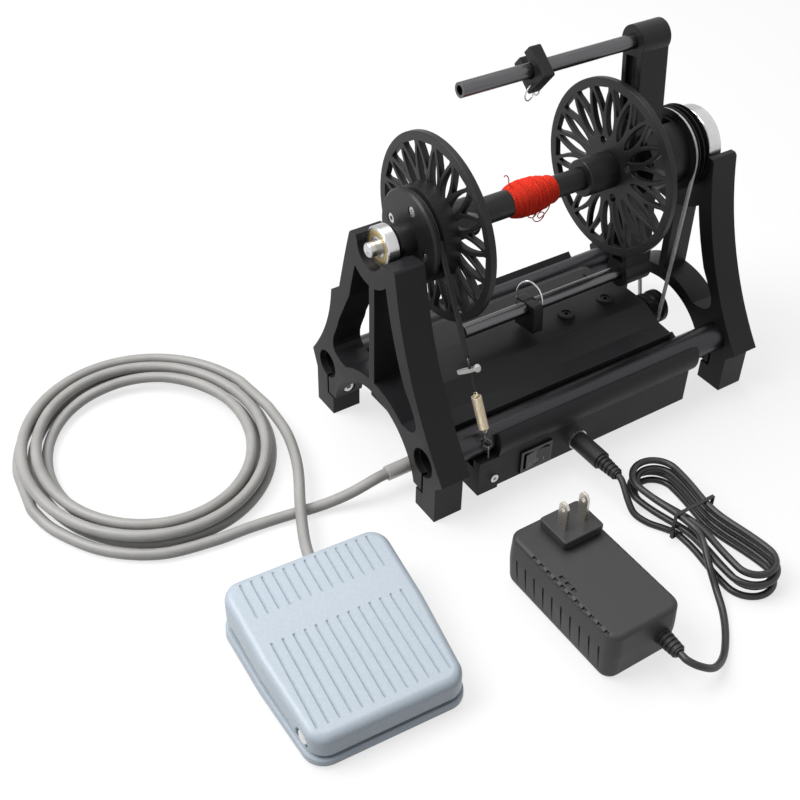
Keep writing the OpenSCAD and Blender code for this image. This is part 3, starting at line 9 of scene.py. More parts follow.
import bmesh
import bpy
import numpy as np
from mathutils import Matrix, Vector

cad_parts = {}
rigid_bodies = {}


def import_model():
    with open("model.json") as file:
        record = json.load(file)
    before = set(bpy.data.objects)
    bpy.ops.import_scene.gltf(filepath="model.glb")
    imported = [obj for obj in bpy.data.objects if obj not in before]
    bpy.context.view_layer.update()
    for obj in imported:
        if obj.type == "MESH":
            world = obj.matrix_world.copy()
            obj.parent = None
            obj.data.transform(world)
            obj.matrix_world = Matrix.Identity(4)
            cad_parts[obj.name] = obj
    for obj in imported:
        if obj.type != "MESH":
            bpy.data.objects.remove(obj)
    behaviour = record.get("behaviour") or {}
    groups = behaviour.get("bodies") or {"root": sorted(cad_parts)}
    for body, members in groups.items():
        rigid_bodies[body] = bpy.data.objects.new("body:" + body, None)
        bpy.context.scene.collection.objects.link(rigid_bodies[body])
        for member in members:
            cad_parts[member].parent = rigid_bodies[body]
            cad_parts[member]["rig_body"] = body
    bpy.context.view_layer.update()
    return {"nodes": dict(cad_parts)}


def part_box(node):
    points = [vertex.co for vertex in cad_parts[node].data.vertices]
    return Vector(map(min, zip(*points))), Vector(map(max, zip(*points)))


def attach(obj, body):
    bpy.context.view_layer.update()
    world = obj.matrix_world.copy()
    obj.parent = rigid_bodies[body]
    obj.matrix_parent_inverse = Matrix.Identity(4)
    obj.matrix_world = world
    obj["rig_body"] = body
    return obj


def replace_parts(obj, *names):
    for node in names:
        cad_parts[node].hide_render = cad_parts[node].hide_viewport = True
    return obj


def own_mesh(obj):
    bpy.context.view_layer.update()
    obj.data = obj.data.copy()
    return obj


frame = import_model()
SOLIDS = frame["nodes"]
MM = 0.001

# ---------------------------------------------------------------- stations shared with the solids

AXIS = np.array([0.0, 4.5, 137.0])
LEAN = math.radians(6)
FLYER_R = 69.5
BELT_X, BELT_D = 87.17, 2.4
BELT_MOTOR = (-3.5, 30.0, 8.6)
BELT_WHORL = (4.5, 137.0, 22.6)
BAND_X, BAND_R, BRAKE_CORD_D = -86.5, 23.4, 1.2
BAND_ANCHOR = np.array([-79.5, -60.5, 35.5])
SPRING_D, SPRING_WIRE, SPRING_COILS, SPRING_L = 5.6, 0.72, 26, 19.6
LINK_R, LINK_WIRE, RING_WIRE = 2.2, 0.9, 1.0
SLIDER_X, LOW_WIRE, HIGH_WIRE = -11.3, 1.2, 0.84
YARN_X, YARN_L, YARN_FAT, YARN_THIN = -28.0, 31.0, 18.8, 13.9
ROCKER = np.array([-46.0, -58.0, 14.5])
LEFT_FLANGE_X, RIGHT_FLANGE_X, FLANGE_T, FLANGE_R = -75.6, 42.45, 3.65, 50.8
COLLAR_R, COLLAR_L, TUBE_R, ON_TUBE = 10.5, 20.2, 6.35, 0.15
PEDAL, PEDAL_TURN = np.array([-202.5, -116.5, 0.0]), math.radians(-3.9)
PEDAL_CABLE_D, ADAPTER_CABLE_D = 6.2, 3.8
ADAPTER = np.array([-84.0, -153.2, 0.0])


# ---------------------------------------------------------------- camera

CAMERA_AT = (-0.3823, -0.4283, 0.4683)
CAMERA_TURN = (-33.700, 40.147, 1.147)
FOCUS, FRAME, SENSOR = 1201.08, 800.0, 36.0


def placed(axes, at):
    """A placing matrix from three directions and a point."""
    turn = Matrix(np.column_stack(axes).tolist()).to_4x4()
    turn.translation = at
    return turn


def photograph_camera():
    """The camera at the photograph's place: yaw, pitch and roll in degrees, and a focal length in
    pixels of an 800 pixel frame."""
    yaw, pitch, roll = (math.radians(v) for v in CAMERA_TURN)
    back = np.array([math.sin(yaw) * math.cos(pitch), -math.cos(yaw) * math.cos(pitch), math.sin(pitch)])
    right = np.array([math.cos(yaw), math.sin(yaw), 0.0])
    up = np.cross(back, right)
    right, up = (math.cos(roll) * right + math.sin(roll) * up, math.cos(roll) * up - math.sin(roll) * right)
    data = bpy.data.cameras.new("studio_camera")
    data.sensor_width, data.lens = SENSOR, FOCUS * SENSOR / FRAME
    data.clip_start, data.clip_end = 0.02, 20.0
    camera = bpy.data.objects.new("studio_camera", data)
    camera.matrix_world = placed([right, up, back], CAMERA_AT)
    bpy.context.scene.collection.objects.link(camera)
    bpy.context.scene.camera = camera


photograph_camera()


# ---------------------------------------------------------------- paths

def through(points, between):
    """A smooth line through given points: each span is a cubic whose slopes join the points on either side, cut into
    equal steps."""
    p = np.asarray(points, float)
    before, after = np.vstack([p[:1], p[:-1]])[:-1], np.vstack([p[1:], p[-1:]])[1:]
    t = (np.arange(between) / between)[None, :, None]
    a, b, c, d = (v[:, None, :] for v in (before, p[:-1], p[1:], after))
    spans = 0.5 * (2 * b + (c - a) * t + (2 * a - 5 * b + 4 * c - d) * t ** 2 + (3 * b - a - 3 * c + d) * t ** 3)
    return np.vstack([spans.reshape(-1, 3), p[-1:]])


def evenly(path, step):
    """The same line with points at equal distances, about step apart."""
    run = np.concatenate([[0], np.cumsum(np.linalg.norm(np.diff(path, axis=0), axis=1))])
    keep = np.concatenate([[True], np.diff(run) > 1e-9])
    run, path = run[keep], path[keep]
    stops = np.linspace(0, run[-1], max(2, int(round(run[-1] / step)) + 1))
    return np.column_stack([np.interp(stops, run, path[:, k]) for k in range(3)])


# ---------------------------------------------------------------- surfaces

def piece(name, verts, faces, body, finish, uv=None, smooth=True):
    """A mesh from arrays in millimetres, riding on a body, in its finish."""
    mesh = bpy.data.meshes.new(name)
    mesh.from_pydata((np.asarray(verts, float) * MM).tolist(), [], [list(map(int, f)) for f in faces])
    if uv is not None:
        layer = mesh.uv_layers.new(name="wrap")
        loops = np.zeros(len(mesh.loops), np.int32)
        mesh.loops.foreach_get("vertex_index", loops)
        layer.data.foreach_set("uv", np.asarray(uv, np.float32)[loops].ravel())
    mesh.validate()
    mesh.shade_smooth() if smooth else mesh.shade_flat()
    obj = bpy.data.objects.new(name, mesh)
    bpy.context.scene.collection.objects.link(obj)
    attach(obj, body)
    dress(obj, finish)
    return obj


def dress(obj, finish):
    """Puts one finish on every face."""
    obj.data.materials.clear()
    obj.data.materials.append(finish.material)


def grid_faces(rows, across, closed):
    """Four-sided faces of a grid of points: each row closes on itself, and closed joins the last
    row to the first."""
    i, j = np.meshgrid(np.arange(rows if closed else rows - 1), np.arange(across), indexing="ij")
    i2, j2 = (i + 1) % rows, (j + 1) % across
    return np.stack([i * across + j, i * across + j2, i2 * across + j2, i2 * across + j], -1).reshape(-1, 4)


def frames_along(path, closed=False):
    """Two directions square to a path at each point, turned as little as possible from one to the next."""
    p = np.asarray(path, float)
    ahead = np.roll(p, -1, 0) - np.roll(p, 1, 0) if closed else np.gradient(p, axis=0)
    t = ahead / np.linalg.norm(ahead, axis=1)[:, None]
    seed = np.eye(3)[np.argmin(np.abs(t[0]))]
    a = np.cross(t[0], seed)
    a /= np.linalg.norm(a)
    sides = [a]
    for k in range(1, len(p)):
        a = a - t[k] * (a @ t[k])
        a /= np.linalg.norm(a)
        sides.append(a)
    a = np.array(sides)
    return a, np.cross(t, a)


def tube_arrays(path, radius, sides=12, closed=False):
    """A round wall round a path: ring k holds path[k] + r (cos w a + sin w b), with flat ends."""
    a, b = frames_along(path, closed)
    n = len(path)
    w = np.arange(sides) * 2 * math.pi / sides
    ring = np.cos(w)[None, :, None] * a[:, None, :] + np.sin(w)[None, :, None] * b[:, None, :]
    verts = (np.asarray(path)[:, None, :] + radius * ring).reshape(-1, 3)
    faces = grid_faces(n, sides, closed).tolist()
    if not closed:
        faces += [np.arange(sides)[::-1].tolist(), (np.arange(sides) + (n - 1) * sides).tolist()]
    run = np.concatenate([[0], np.cumsum(np.linalg.norm(np.diff(path, axis=0), axis=1))])
    uv = np.stack(np.meshgrid(run * MM, np.arange(sides) / sides, indexing="ij"), -1)[..., ::-1].reshape(-1, 2)
    return verts, faces, uv


def tube(name, path, radius, body, finish, sides=12, closed=False):
    """One tube as a piece."""
    verts, faces, uv = tube_arrays(path, radius, sides, closed)
    return piece(name, verts, faces, body, finish, uv)


def tubes(name, runs, radius, body, finish, sides=8):
    """Several tubes in one piece."""
    made = [tube_arrays(path, radius, sides) for path in runs]
    verts, faces = joined([(v, f) for v, f, _ in made])
    return piece(name, verts, faces, body, finish, np.vstack([uv for _, _, uv in made]))


def turned(name, outline, centre, direction, body, finish, sides=64, closed=True):
    """A turned surface: outline rows are (distance along the axis, radius). A closed outline is a ring."""
    d = np.asarray(direction, float) / np.linalg.norm(direction)
    a = np.cross(d, np.eye(3)[np.argmin(np.abs(d))])
    a /= np.linalg.norm(a)
    b = np.cross(d, a)
    q = np.asarray(outline, float)
    w = np.arange(sides) * 2 * math.pi / sides
    ring = np.cos(w)[:, None] * a + np.sin(w)[:, None] * b
    verts = (np.asarray(centre)[None, None, :] + q[:, None, :1] * d + q[:, None, 1:] * ring[None]).reshape(-1, 3)
    obj = piece(name, verts, grid_faces(len(q), sides, closed), body, finish)
    tidy_mesh(obj)
    return obj


def on_axis(name, outline, body, finish, sides, closed=True):
    """A turned surface round the spindle's axis, with x as its distance along it."""
    return turned(name, outline, (0, AXIS[1], AXIS[2]), (1, 0, 0), body, finish, sides, closed)


def tidy_mesh(obj, angle=40):
    """Merges doubled points, turns the faces outwards and keeps edges sharper than the angle crisp."""
    bm = bmesh.new()
    bm.from_mesh(obj.data)
    bmesh.ops.remove_doubles(bm, verts=bm.verts, dist=1e-7)
    bmesh.ops.recalc_face_normals(bm, faces=bm.faces)
    for edge in bm.edges:
        edge.smooth = len(edge.link_faces) == 2 and edge.calc_face_angle(0) < math.radians(angle)
    bm.to_mesh(obj.data)
    bm.free()


def flat_plate(outlines, thick, bevel):
    """Points and faces of a flat plate in its own plane, in millimetres: closed outlines are filled
    between, inner ones stay open, and both rims are rounded. Thickness runs along the third axis."""
    curve = bpy.data.curves.new("plate_outline", "CURVE")
    curve.dimensions, curve.fill_mode = "2D", "BOTH"
    curve.extrude, curve.bevel_depth, curve.offset = (thick / 2 - bevel) * MM, bevel * MM, -bevel * MM
    curve.bevel_resolution = 2
    for outline in outlines:
        line = curve.splines.new("POLY")
        line.points.add(len(outline) - 1)
        flat = np.column_stack([np.asarray(outline, float) * MM, np.zeros(len(outline)), np.ones(len(outline))])
        line.points.foreach_set("co", flat.ravel())
        line.use_cyclic_u = True
    holder = bpy.data.objects.new("plate_outline", curve)
    bpy.context.scene.collection.objects.link(holder)
    bpy.context.view_layer.update()
    mesh = bpy.data.meshes.new_from_object(holder.evaluated_get(bpy.context.evaluated_depsgraph_get()))
    verts = np.zeros(len(mesh.vertices) * 3)
    mesh.vertices.foreach_get("co", verts)
    faces = [list(f.vertices) for f in mesh.polygons]
    bpy.data.objects.remove(holder)
    bpy.data.curves.remove(curve)
    bpy.data.meshes.remove(mesh)
    return verts.reshape(-1, 3) / MM, faces


def crisp(obj, angle=35):
    """Flat faces stay flat and rounded edges shade smoothly."""
    tidy_mesh(obj, angle)
    soft = obj.modifiers.new("crisp_flats", "WEIGHTED_NORMAL")
    soft.keep_sharp = True
    return obj


def box_arrays(low, high):
    """The eight corners and six faces of a box."""
    corner = np.array([[x, y, z] for x in (low[0], high[0]) for y in (low[1], high[1])
                       for z in (low[2], high[2])], float)
    return corner, [[0, 1, 3, 2], [4, 6, 7, 5], [0, 4, 5, 1], [2, 3, 7, 6], [0, 2, 6, 4], [1, 5, 7, 3]]


def joined(parts):
    """Several sets of points and faces as one."""
    verts, faces, count = [], [], 0
    for v, f in parts:
        verts.append(v)
        faces += [[i + count for i in face] for face in f]
        count += len(v)
    return np.vstack(verts), faces


def carve(obj, cutters):
    """Takes shapes, given as points and faces in millimetres, out of a closed piece."""
    verts, faces = joined(cutters)
    mesh = bpy.data.meshes.new("cutter")
    mesh.from_pydata((verts * MM).tolist(), [], faces)
    tool = bpy.data.objects.new("cutter", mesh)
    bpy.context.scene.collection.objects.link(tool)
    tidy_mesh(tool)
    cut = obj.modifiers.new("cut", "BOOLEAN")
    cut.object, cut.operation, cut.solver = tool, "DIFFERENCE", "EXACT"
    bpy.context.view_layer.update()
    result = bpy.data.meshes.new_from_object(obj.evaluated_get(bpy.context.evaluated_depsgraph_get()))
    obj.modifiers.remove(cut)
    old, obj.data = obj.data, result
    bpy.data.meshes.remove(old)
    bpy.data.objects.remove(tool)
    bpy.data.meshes.remove(mesh)


def lofted(rings):
    """A closed body between rings of equal count: first and last are filled."""
    n, last = len(rings[0]), len(rings) - 1
    faces = grid_faces(len(rings), n, False).tolist()
    return np.vstack(rings), faces + [list(range(n))[::-1], [last * n + j for j in range(n)]]


def ring_at(flat, z):
    """A flat outline at a height, which may vary from point to point."""
    return np.column_stack([flat, np.broadcast_to(np.asarray(z, float), len(flat))])


def circle(radius, count, centre=(0, 0)):
    """Points round a circle."""
    w = np.arange(count) * 2 * math.pi / count
    return np.column_stack([centre[0] + radius * np.cos(w), centre[1] + radius * np.sin(w)])


def rounded_rectangle(half_x, half_y, r, steps):
    """The outline of a rectangle with round corners, anticlockwise from its front right corner."""
    w = np.radians(np.linspace(0, 90, steps))
    arcs = []
    for k, (x, y) in enumerate([(1, -1), (1, 1), (-1, 1), (-1, -1)]):
        v = w + math.radians(90 * (k - 1))
        arcs.append(np.column_stack([x * (half_x - r) + r * np.cos(v), y * (half_y - r) + r * np.sin(v)]))
    return np.vstack(arcs)


# ---------------------------------------------------------------- finishes

class Value:
    """A number that varies over a surface: a socket that ordinary arithmetic works on."""

    def __init__(self, finish, socket):
        self.finish, self.socket = finish, socket

    def maths(self, operation, *values):
        return self.finish.node("ShaderNodeMath", {"operation": operation}, dict(enumerate(values)))

    def __add__(self, other):
        return self.maths("ADD", self, other)

    def __sub__(self, other):
        return self.maths("SUBTRACT", self, other)

    def __rsub__(self, other):
        return self.maths("SUBTRACT", other, self)

    def __mul__(self, other):
        return self.maths("MULTIPLY", self, other)

    def __pow__(self, other):
        return self.maths("POWER", self, other)

    __radd__, __rmul__ = __add__, __mul__

    def over(self, edge):
        """1 past the edge and 0 before it."""
        return self.maths("GREATER_THAN", self, edge)

    def between(self, low, high, to_low=0.0, to_high=1.0):
        """The stretch from low to high turned into one from to_low to to_high."""
        return self.finish.node("ShaderNodeMapRange", {"clamp": True}, {
            "Value": self, "From Min": low, "From Max": high, "To Min": to_low, "To Max": to_high})

    def sine(self):
        return self.maths("SINE", self)


class Finish:
    """One material being put together over a Principled shader."""

    def __init__(self, name, slot, colour, roughness=0.4, metallic=0.0, **fixed):
        self.material = bpy.data.materials.new(name)
        self.material.use_nodes = True
        self.slot = slot
        self.tree = self.material.node_tree
        self.shader = self.tree.nodes["Principled BSDF"]
        self.colour = tuple(colour) + (1.0,)
        self.set("Base Color", self.colour)
        self.set("Roughness", roughness)
        self.set("Metallic", metallic)
        for socket, value in fixed.items():
            self.set(socket.replace("_", " "), value)
        self.material.diffuse_color = self.colour

    def set(self, socket, value):
        target = self.shader.inputs[socket]
        if isinstance(value, Value):
            self.tree.links.new(value.socket, target)
        else:
            target.default_value = value

    def node(self, kind, settings=None, values=None, out=0):
        made = self.tree.nodes.new(kind)
        for key, value in (settings or {}).items():
            if key == "stops":
                ramp = made.color_ramp
                while len(ramp.elements) < len(value):
                    ramp.elements.new(0.5)
                for element, (place, tint) in zip(ramp.elements, value):
                    element.position, element.color = place, tint
            else:
                setattr(made, key, value)
        for key, value in (values or {}).items():
            if isinstance(value, Value):
                self.tree.links.new(value.socket, made.inputs[key])
            else:
                made.inputs[key].default_value = value
        return Value(self, made.outputs[out])

    def place(self, centre=(0, 0, 0), scale=(1, 1, 1)):
        """Object coordinates in metres, about a centre in millimetres."""
        spot = self.node("ShaderNodeTexCoord", out="Object")
        moved = self.node("ShaderNodeVectorMath", {"operation": "SUBTRACT"}, {0: spot, 1: [c * MM for c in centre]})
        return self.node("ShaderNodeMapping", {}, {"Vector": moved, "Scale": scale})

    def wrap(self):
        """The tube's own map: x round it from 0 to 1, y along it in metres."""
        return self.node("ShaderNodeUVMap", {"uv_map": "wrap"})

    def part(self, vector, letter):
        """One coordinate of a place."""
        return self.node("ShaderNodeSeparateXYZ", {}, {0: vector}, out=letter)

    def noise(self, vector, scale, detail=3.0, roughness=0.5):
        """Smooth noise from 0 to 1."""
        return self.node("ShaderNodeTexNoise", {}, {
            "Vector": vector, "Scale": scale, "Detail": detail, "Roughness": roughness}, out="Fac")

    def cells(self, vector, scale):
        """Distance to the nearest of many scattered points, eased where two are as near."""
        return self.node("ShaderNodeTexVoronoi", {"feature": "SMOOTH_F1"}, {
            "Vector": vector, "Scale": scale, "Smoothness": 0.5}, out="Distance")

    def tint(self, factor, low, high):
        """A colour between two others, each a triple or already worked out."""
        low, high = (c if isinstance(c, Value) else tuple(c) + (1.0,) for c in (low, high))
        return self.node("ShaderNodeMix", {"data_type": "RGBA"}, {0: factor, 6: low, 7: high}, out=2)

    def relief(self, height, depth, edge=None):
        """Bumps of a real depth in millimetres, over edges eased by a radius in millimetres."""
        values = {"Height": height, "Distance": depth * MM, "Strength": 1.0}
        if edge:
            values["Normal"] = self.node("ShaderNodeBevel", {"samples": 4}, {"Radius": edge * MM})
        self.set("Normal", self.node("ShaderNodeBump", {}, values))


def moulded(name, slot, colour, roughness, grain=0.02, grain_size=900, edge=0.5, lift=0.35, specular=0.5):
    """Moulded plastic: a fine sparked grain, slow patches of sheen, and a slightly lighter tone where
    handling has polished it."""
    f = Finish(name, slot, colour, roughness, Specular_IOR_Level=specular)
    spot = f.place()
    fine = f.noise(spot, grain_size, 4.0, 0.6)
    slow = f.noise(spot, 28, 3.0)
    f.set("Base Color", f.tint(slow.between(0.35, 0.7), colour, [min(1, c * (1 + lift)) for c in colour]))
    f.set("Roughness", slow.between(0.3, 0.7, roughness - 0.05, roughness + 0.06) + (fine - 0.5) * 0.06)
    f.relief(fine, grain, edge=edge)
    return f


def drawn_metal(name, slot, colour, roughness, across=False, metallic=1.0, edge=0.25):
    """Metal with fine lines drawn along X, or across it."""
    f = Finish(name, slot, colour, roughness, metallic)
    coarse, fine = 60, 2600
    lines = f.noise(f.place(scale=(fine, coarse, coarse) if across else (coarse, fine, fine)), 1.0, 3.0, 0.7)
    slow = f.noise(f.place(), 35, 2.0)
    f.set("Roughness", lines.between(0.2, 0.8, roughness - 0.06, roughness + 0.1) + (slow - 0.5) * 0.08)
    dull, bright = [c * 0.86 for c in colour], [min(1, c * 1.06) for c in colour]
    f.set("Base Color", f.tint(lines.between(0.25, 0.75), dull, bright))
    f.relief(lines, 0.006, edge=edge)
    return f


def turned_metal(name, slot, colour, roughness, centre, edge=0.2):
    """Ground steel rings: lines follow circles round the X axis through the centre."""
    f = Finish(name, slot, colour, roughness, 1.0)
    spot = f.place(centre)
    y, z = f.part(spot, "Y"), f.part(spot, "Z")
    radius = (y * y + z * z) ** 0.5
    ring = f.node("ShaderNodeCombineXYZ", {}, {"X": radius * 5200, "Y": f.part(spot, "X") * 5200})
    lines = f.noise(ring, 1.0, 3.0, 0.65)
    slow = f.noise(spot, 120, 2.0)
    f.set("Roughness", lines.between(0.25, 0.75, roughness - 0.05, roughness + 0.1))
    f.set("Base Color", f.tint(slow.between(0.3, 0.7), [c * 0.88 for c in colour], colour))
    f.relief(lines, 0.004, edge=edge)
    return f


def rubber_cable(name, slot, colour, roughness, edge_tint):
    """PVC cable: faint lengthwise draw lines, slow dull patches and a little dust."""
    f = Finish(name, slot, colour, roughness)
    wrap = f.wrap()
    drawn = f.node("ShaderNodeCombineXYZ", {}, {"X": f.part(wrap, "X") * 26, "Y": f.part(wrap, "Y") * 18})
    lines = f.noise(drawn, 1.0, 3.0)
    slow = f.noise(f.place(), 60, 3.0)
    f.set("Base Color", f.tint(slow.between(0.3, 0.75), colour, edge_tint))
    f.set("Roughness", slow.between(0.3, 0.7, roughness - 0.06, roughness + 0.08))
    f.relief(lines, 0.03)
    return f


def spun_yarn(name, slot, colour, shade):
    """Two-ply yarn: the twist runs slantwise round it, with fibres between and small changes of dye. The colour falls
    to the shade colour in the groove between the plies, where the bump dips: painted shade.
    """
    f = Finish(name, slot, colour, 0.8, Specular_IOR_Level=0.15)
    wrap = f.wrap()
    slant = f.part(wrap, "X") * 2 + f.part(wrap, "Y") * 640
    ply = (slant * (2 * math.pi)).sine()
    fibre = f.noise(f.node("ShaderNodeCombineXYZ", {}, {"X": slant * 14, "Y": f.part(wrap, "Y") * 900}), 1.0, 4.0)
    dye = f.noise(f.place(), 260, 2.0)
    # painted shade: the yarn darkens to the shade colour in the groove between the plies
    light = f.tint(ply.between(-1.0, 0.4), shade, colour)
    faded = [min(1, c * 1.3 + 0.02) for c in colour]
    f.set("Base Color", f.tint(dye.between(0.45, 0.8) * 0.35, light, faded))
    f.relief(ply * 0.8 + fibre * 0.4, 0.07)
    return f


def braided(name, slot, colour, shade):
    """A fine braid: two sets of strands cross on the slant, and the colour falls to the shade colour in the dips
    between them: painted shade.
    """
    f = Finish(name, slot, colour, 0.6)
    wrap = f.wrap()
    u, v = f.part(wrap, "X") * 4, f.part(wrap, "Y") * 900
    weave = ((u + v) * (2 * math.pi)).sine() * ((u - v) * (2 * math.pi)).sine()
    # painted shade: the braid darkens to the shade colour where its strands dip
    f.set("Base Color", f.tint(weave.between(-0.6, 0.6), shade, colour))
    f.relief(weave, 0.06)
    return f


def hammered(name, slot, colour, dark):
    """Hammer-finish enamel: shallow dimples that run together, thinner and darker in the dips, the dark partly the thin
    enamel's own tone and partly painted shade.
    """
    f = Finish(name, slot, colour, 0.42, Coat_Weight=0.25, Coat_Roughness=0.25)
    spot = f.place()
    dimple = f.cells(spot, 620)
    fine = f.noise(spot, 1600, 3.0)
    slow = f.noise(spot, 22, 3.0)
    # the dips darken towards the dark colour: partly the enamel's own tone, partly painted shade
    f.set("Base Color", f.tint(slow.between(0.3, 0.7) * 0.5 + dimple.between(0.1, 0.7) * 0.5, dark, colour))
    f.set("Roughness", slow.between(0.3, 0.7, 0.38, 0.5))
    f.relief(dimple * 0.7 + fine * 0.3, 0.05, edge=0.6)
    return f


frame_black = moulded("satin_frame_black", "black_plastic", (0.0125, 0.0125, 0.014), 0.42, specular=0.2)
box_black = moulded("grained_box_black", "black_plastic", (0.013, 0.013, 0.0145), 0.5,
                    grain=0.035, grain_size=650, specular=0.24)
flyer_black = moulded("machined_flyer_black", "black_plastic", (0.011, 0.011, 0.012), 0.38,
                      grain=0.012, edge=0.7, specular=0.25)
bobbin_black = moulded("pressed_bobbin_black", "black_plastic", (0.013, 0.013, 0.014), 0.38,
                       grain=0.01, edge=0.2, specular=0.3)
adapter_black = moulded("sparked_adapter_black", "black_plastic", (0.034, 0.0335, 0.035), 0.5,
                        grain=0.05, grain_size=1500, lift=0.15, specular=0.4)
gloss_black = moulded("gloss_switch_black", "gloss_black", (0.008, 0.008, 0.009), 0.16, grain=0.002, edge=0.25)
relief_black = moulded("soft_relief_black", "cord_black", (0.012, 0.012, 0.013), 0.55, grain=0.02, edge=0.2)
foot_black = moulded("rubber_foot_black", "rubber_black", (0.02, 0.02, 0.02), 0.8, grain=0.04, edge=0.3)
rod_black = drawn_metal("blacked_rod", "black_tube", (0.05, 0.05, 0.054), 0.3, metallic=0.85)
flyer_rod = drawn_metal("dark_flyer_tube", "black_tube", (0.13, 0.13, 0.135), 0.24, metallic=0.95)
steel = drawn_metal("drawn_steel", "steel", (0.56, 0.57, 0.58), 0.3)
screw_steel = drawn_metal("bright_screw_steel", "steel", (0.6, 0.6, 0.61), 0.24, across=True, edge=0.15)
bearing_steel = turned_metal("ground_bearing_steel", "steel", (0.66, 0.66, 0.66), 0.22, AXIS)
jack_steel = drawn_metal("plated_jack", "steel", (0.58, 0.58, 0.58), 0.26, edge=0.2)
sleeve_chrome = drawn_metal("bright_sleeve", "chrome", (0.66, 0.64, 0.62), 0.42, metallic=0.4, edge=0.3)
hook_chrome = drawn_metal("bright_hook_wire", "chrome", (0.7, 0.7, 0.7), 0.16, edge=0.1)
blade_brass = drawn_metal("plated_blade", "brass_blade", (0.62, 0.58, 0.52), 0.27, edge=0.2)
spring_brass = drawn_metal("dull_spring_wire", "spring_wire", (0.80, 0.70, 0.52), 0.42, metallic=0.6, edge=0.1)
board_green = moulded("board_green", "board", (0.02, 0.11, 0.05), 0.35)
tie_white = moulded("nylon_white", "nylon_white", (0.72, 0.72, 0.69), 0.4, grain=0.01, edge=0.2, lift=0.05)
# the second colour is the tone of the dimple dips, partly painted shade
pedal_blue = hammered("hammered_blue_grey", "pedal_blue", (0.49, 0.56, 0.63), (0.43, 0.50, 0.57))
pedal_cable = rubber_cable("grey_pedal_cable", "cord_grey", (0.34, 0.335, 0.325), 0.42, (0.41, 0.405, 0.39))
adapter_cable = rubber_cable("black_adapter_cable", "cord_black", (0.012, 0.012, 0.013), 0.4, (0.02, 0.02, 0.021))
# the yarn's second colour is the painted shade in the groove between its plies
red_yarn = spun_yarn("red_two_ply", "yarn_red", (0.99, 0.065, 0.03), (0.74, 0.02, 0.012))
# the braid's second colour is the painted shade in the dips between its strands
brake_braid = braided("black_braid", "brake_string", (0.02, 0.02, 0.022), (0.006, 0.006, 0.006))
shield_gold = turned_metal("gold_bearing_shield", "brass_blade", (0.52, 0.40, 0.19), 0.34, AXIS, edge=0.1)
link_dark = drawn_metal("dark_link_wire", "steel", (0.12, 0.115, 0.11), 0.3, edge=0.1)


def blacken_cover_screws(finish, bright, low=0.045, high=0.09):
    """The screws between two heights, in metres, are black; the others stay bright."""
    height = finish.part(finish.place(), "Z")
    finish.set("Base Color", finish.tint(height.over(low) - height.over(high), bright, (0.03, 0.03, 0.032)))


blacken_cover_screws(screw_steel, (0.6, 0.6, 0.61))

clear_belt = Finish("clear_belt", "belt_clear", (0.95, 0.955, 0.955), 0.16, Transmission_Weight=0.12, IOR=1.46)
wear = clear_belt.noise(clear_belt.place(), 300, 3.0)
clear_belt.set("Roughness", wear.between(0.3, 0.7, 0.14, 0.3))
clear_belt.set("Base Color", clear_belt.tint(wear.between(0.3, 0.7), (0.78, 0.81, 0.81), (0.92, 0.93, 0.93)))
clear_belt.relief(wear, 0.02)

print_white = Finish("switch_print", "gloss_black", (0.7, 0.7, 0.7), 0.5)
chalk = print_white.noise(print_white.place(), 2500, 2.0)
print_white.set("Base Color", print_white.tint(chalk.between(0.3, 0.7), (0.58, 0.58, 0.58), (0.78, 0.78, 0.78)))


# ---------------------------------------------------------------- cords

def pedal_cable_path():
    """Lead from the sleeve, then turns that spiral in for half their number and out again a layer
    higher, then the tail to the pedal: the line that the solids follow."""
    half_x, half_y, step, turns, rings = 72.0, 80.0, 8.0, 4.5, 24
    cx, cy, low, high = -222.0, 68.0, 3.2, 10.1
    s = np.arange(int(turns * rings) + 1) / rings
    inward = step * np.minimum(s, turns - s)
    w = math.pi - 2 * math.pi * s
    climb = (1 - np.cos(math.pi * np.clip((s - turns / 2 + 0.25) / 0.5, 0, 1))) / 2
    coil = np.column_stack([cx + (half_x - inward) * np.cos(w), cy + (half_y - inward) * np.sin(w),
                            low + (high - low) * climb])
    lead = through([[-116.3, -28.2, 13.5], [-121, -28.2, 13.5], [-127, -28.2, 13.5], [-133, -28, 12.4],
                    [-146, -26, 8], [-162, -22, 4], [-182, -18, 3.2], [-202, -15.5, 3.2], [-222, -14, 3.2],
                    [-250, -7.5, 3.2], [-273.5, 10.5, 3.2], [-289, 36, 3.2], [-294, 55, 3.2], [-294, 61.8, 3.2]], 6)
    tail = through([[-150, 61.8, 10.1], [-150, 55, 10.1], [-152, 32, 10.1], [-160, 6, 10.1], [-174, -22, 10.1],
                    [-184, -44, 10.1], [-188.6, -58, 10.1], [-190.1, -66, 10.1], [-190.5, -72, 10.1]], 6)
    return evenly(np.vstack([lead, through(coil, 4)[4:-4], tail]), 3.0)


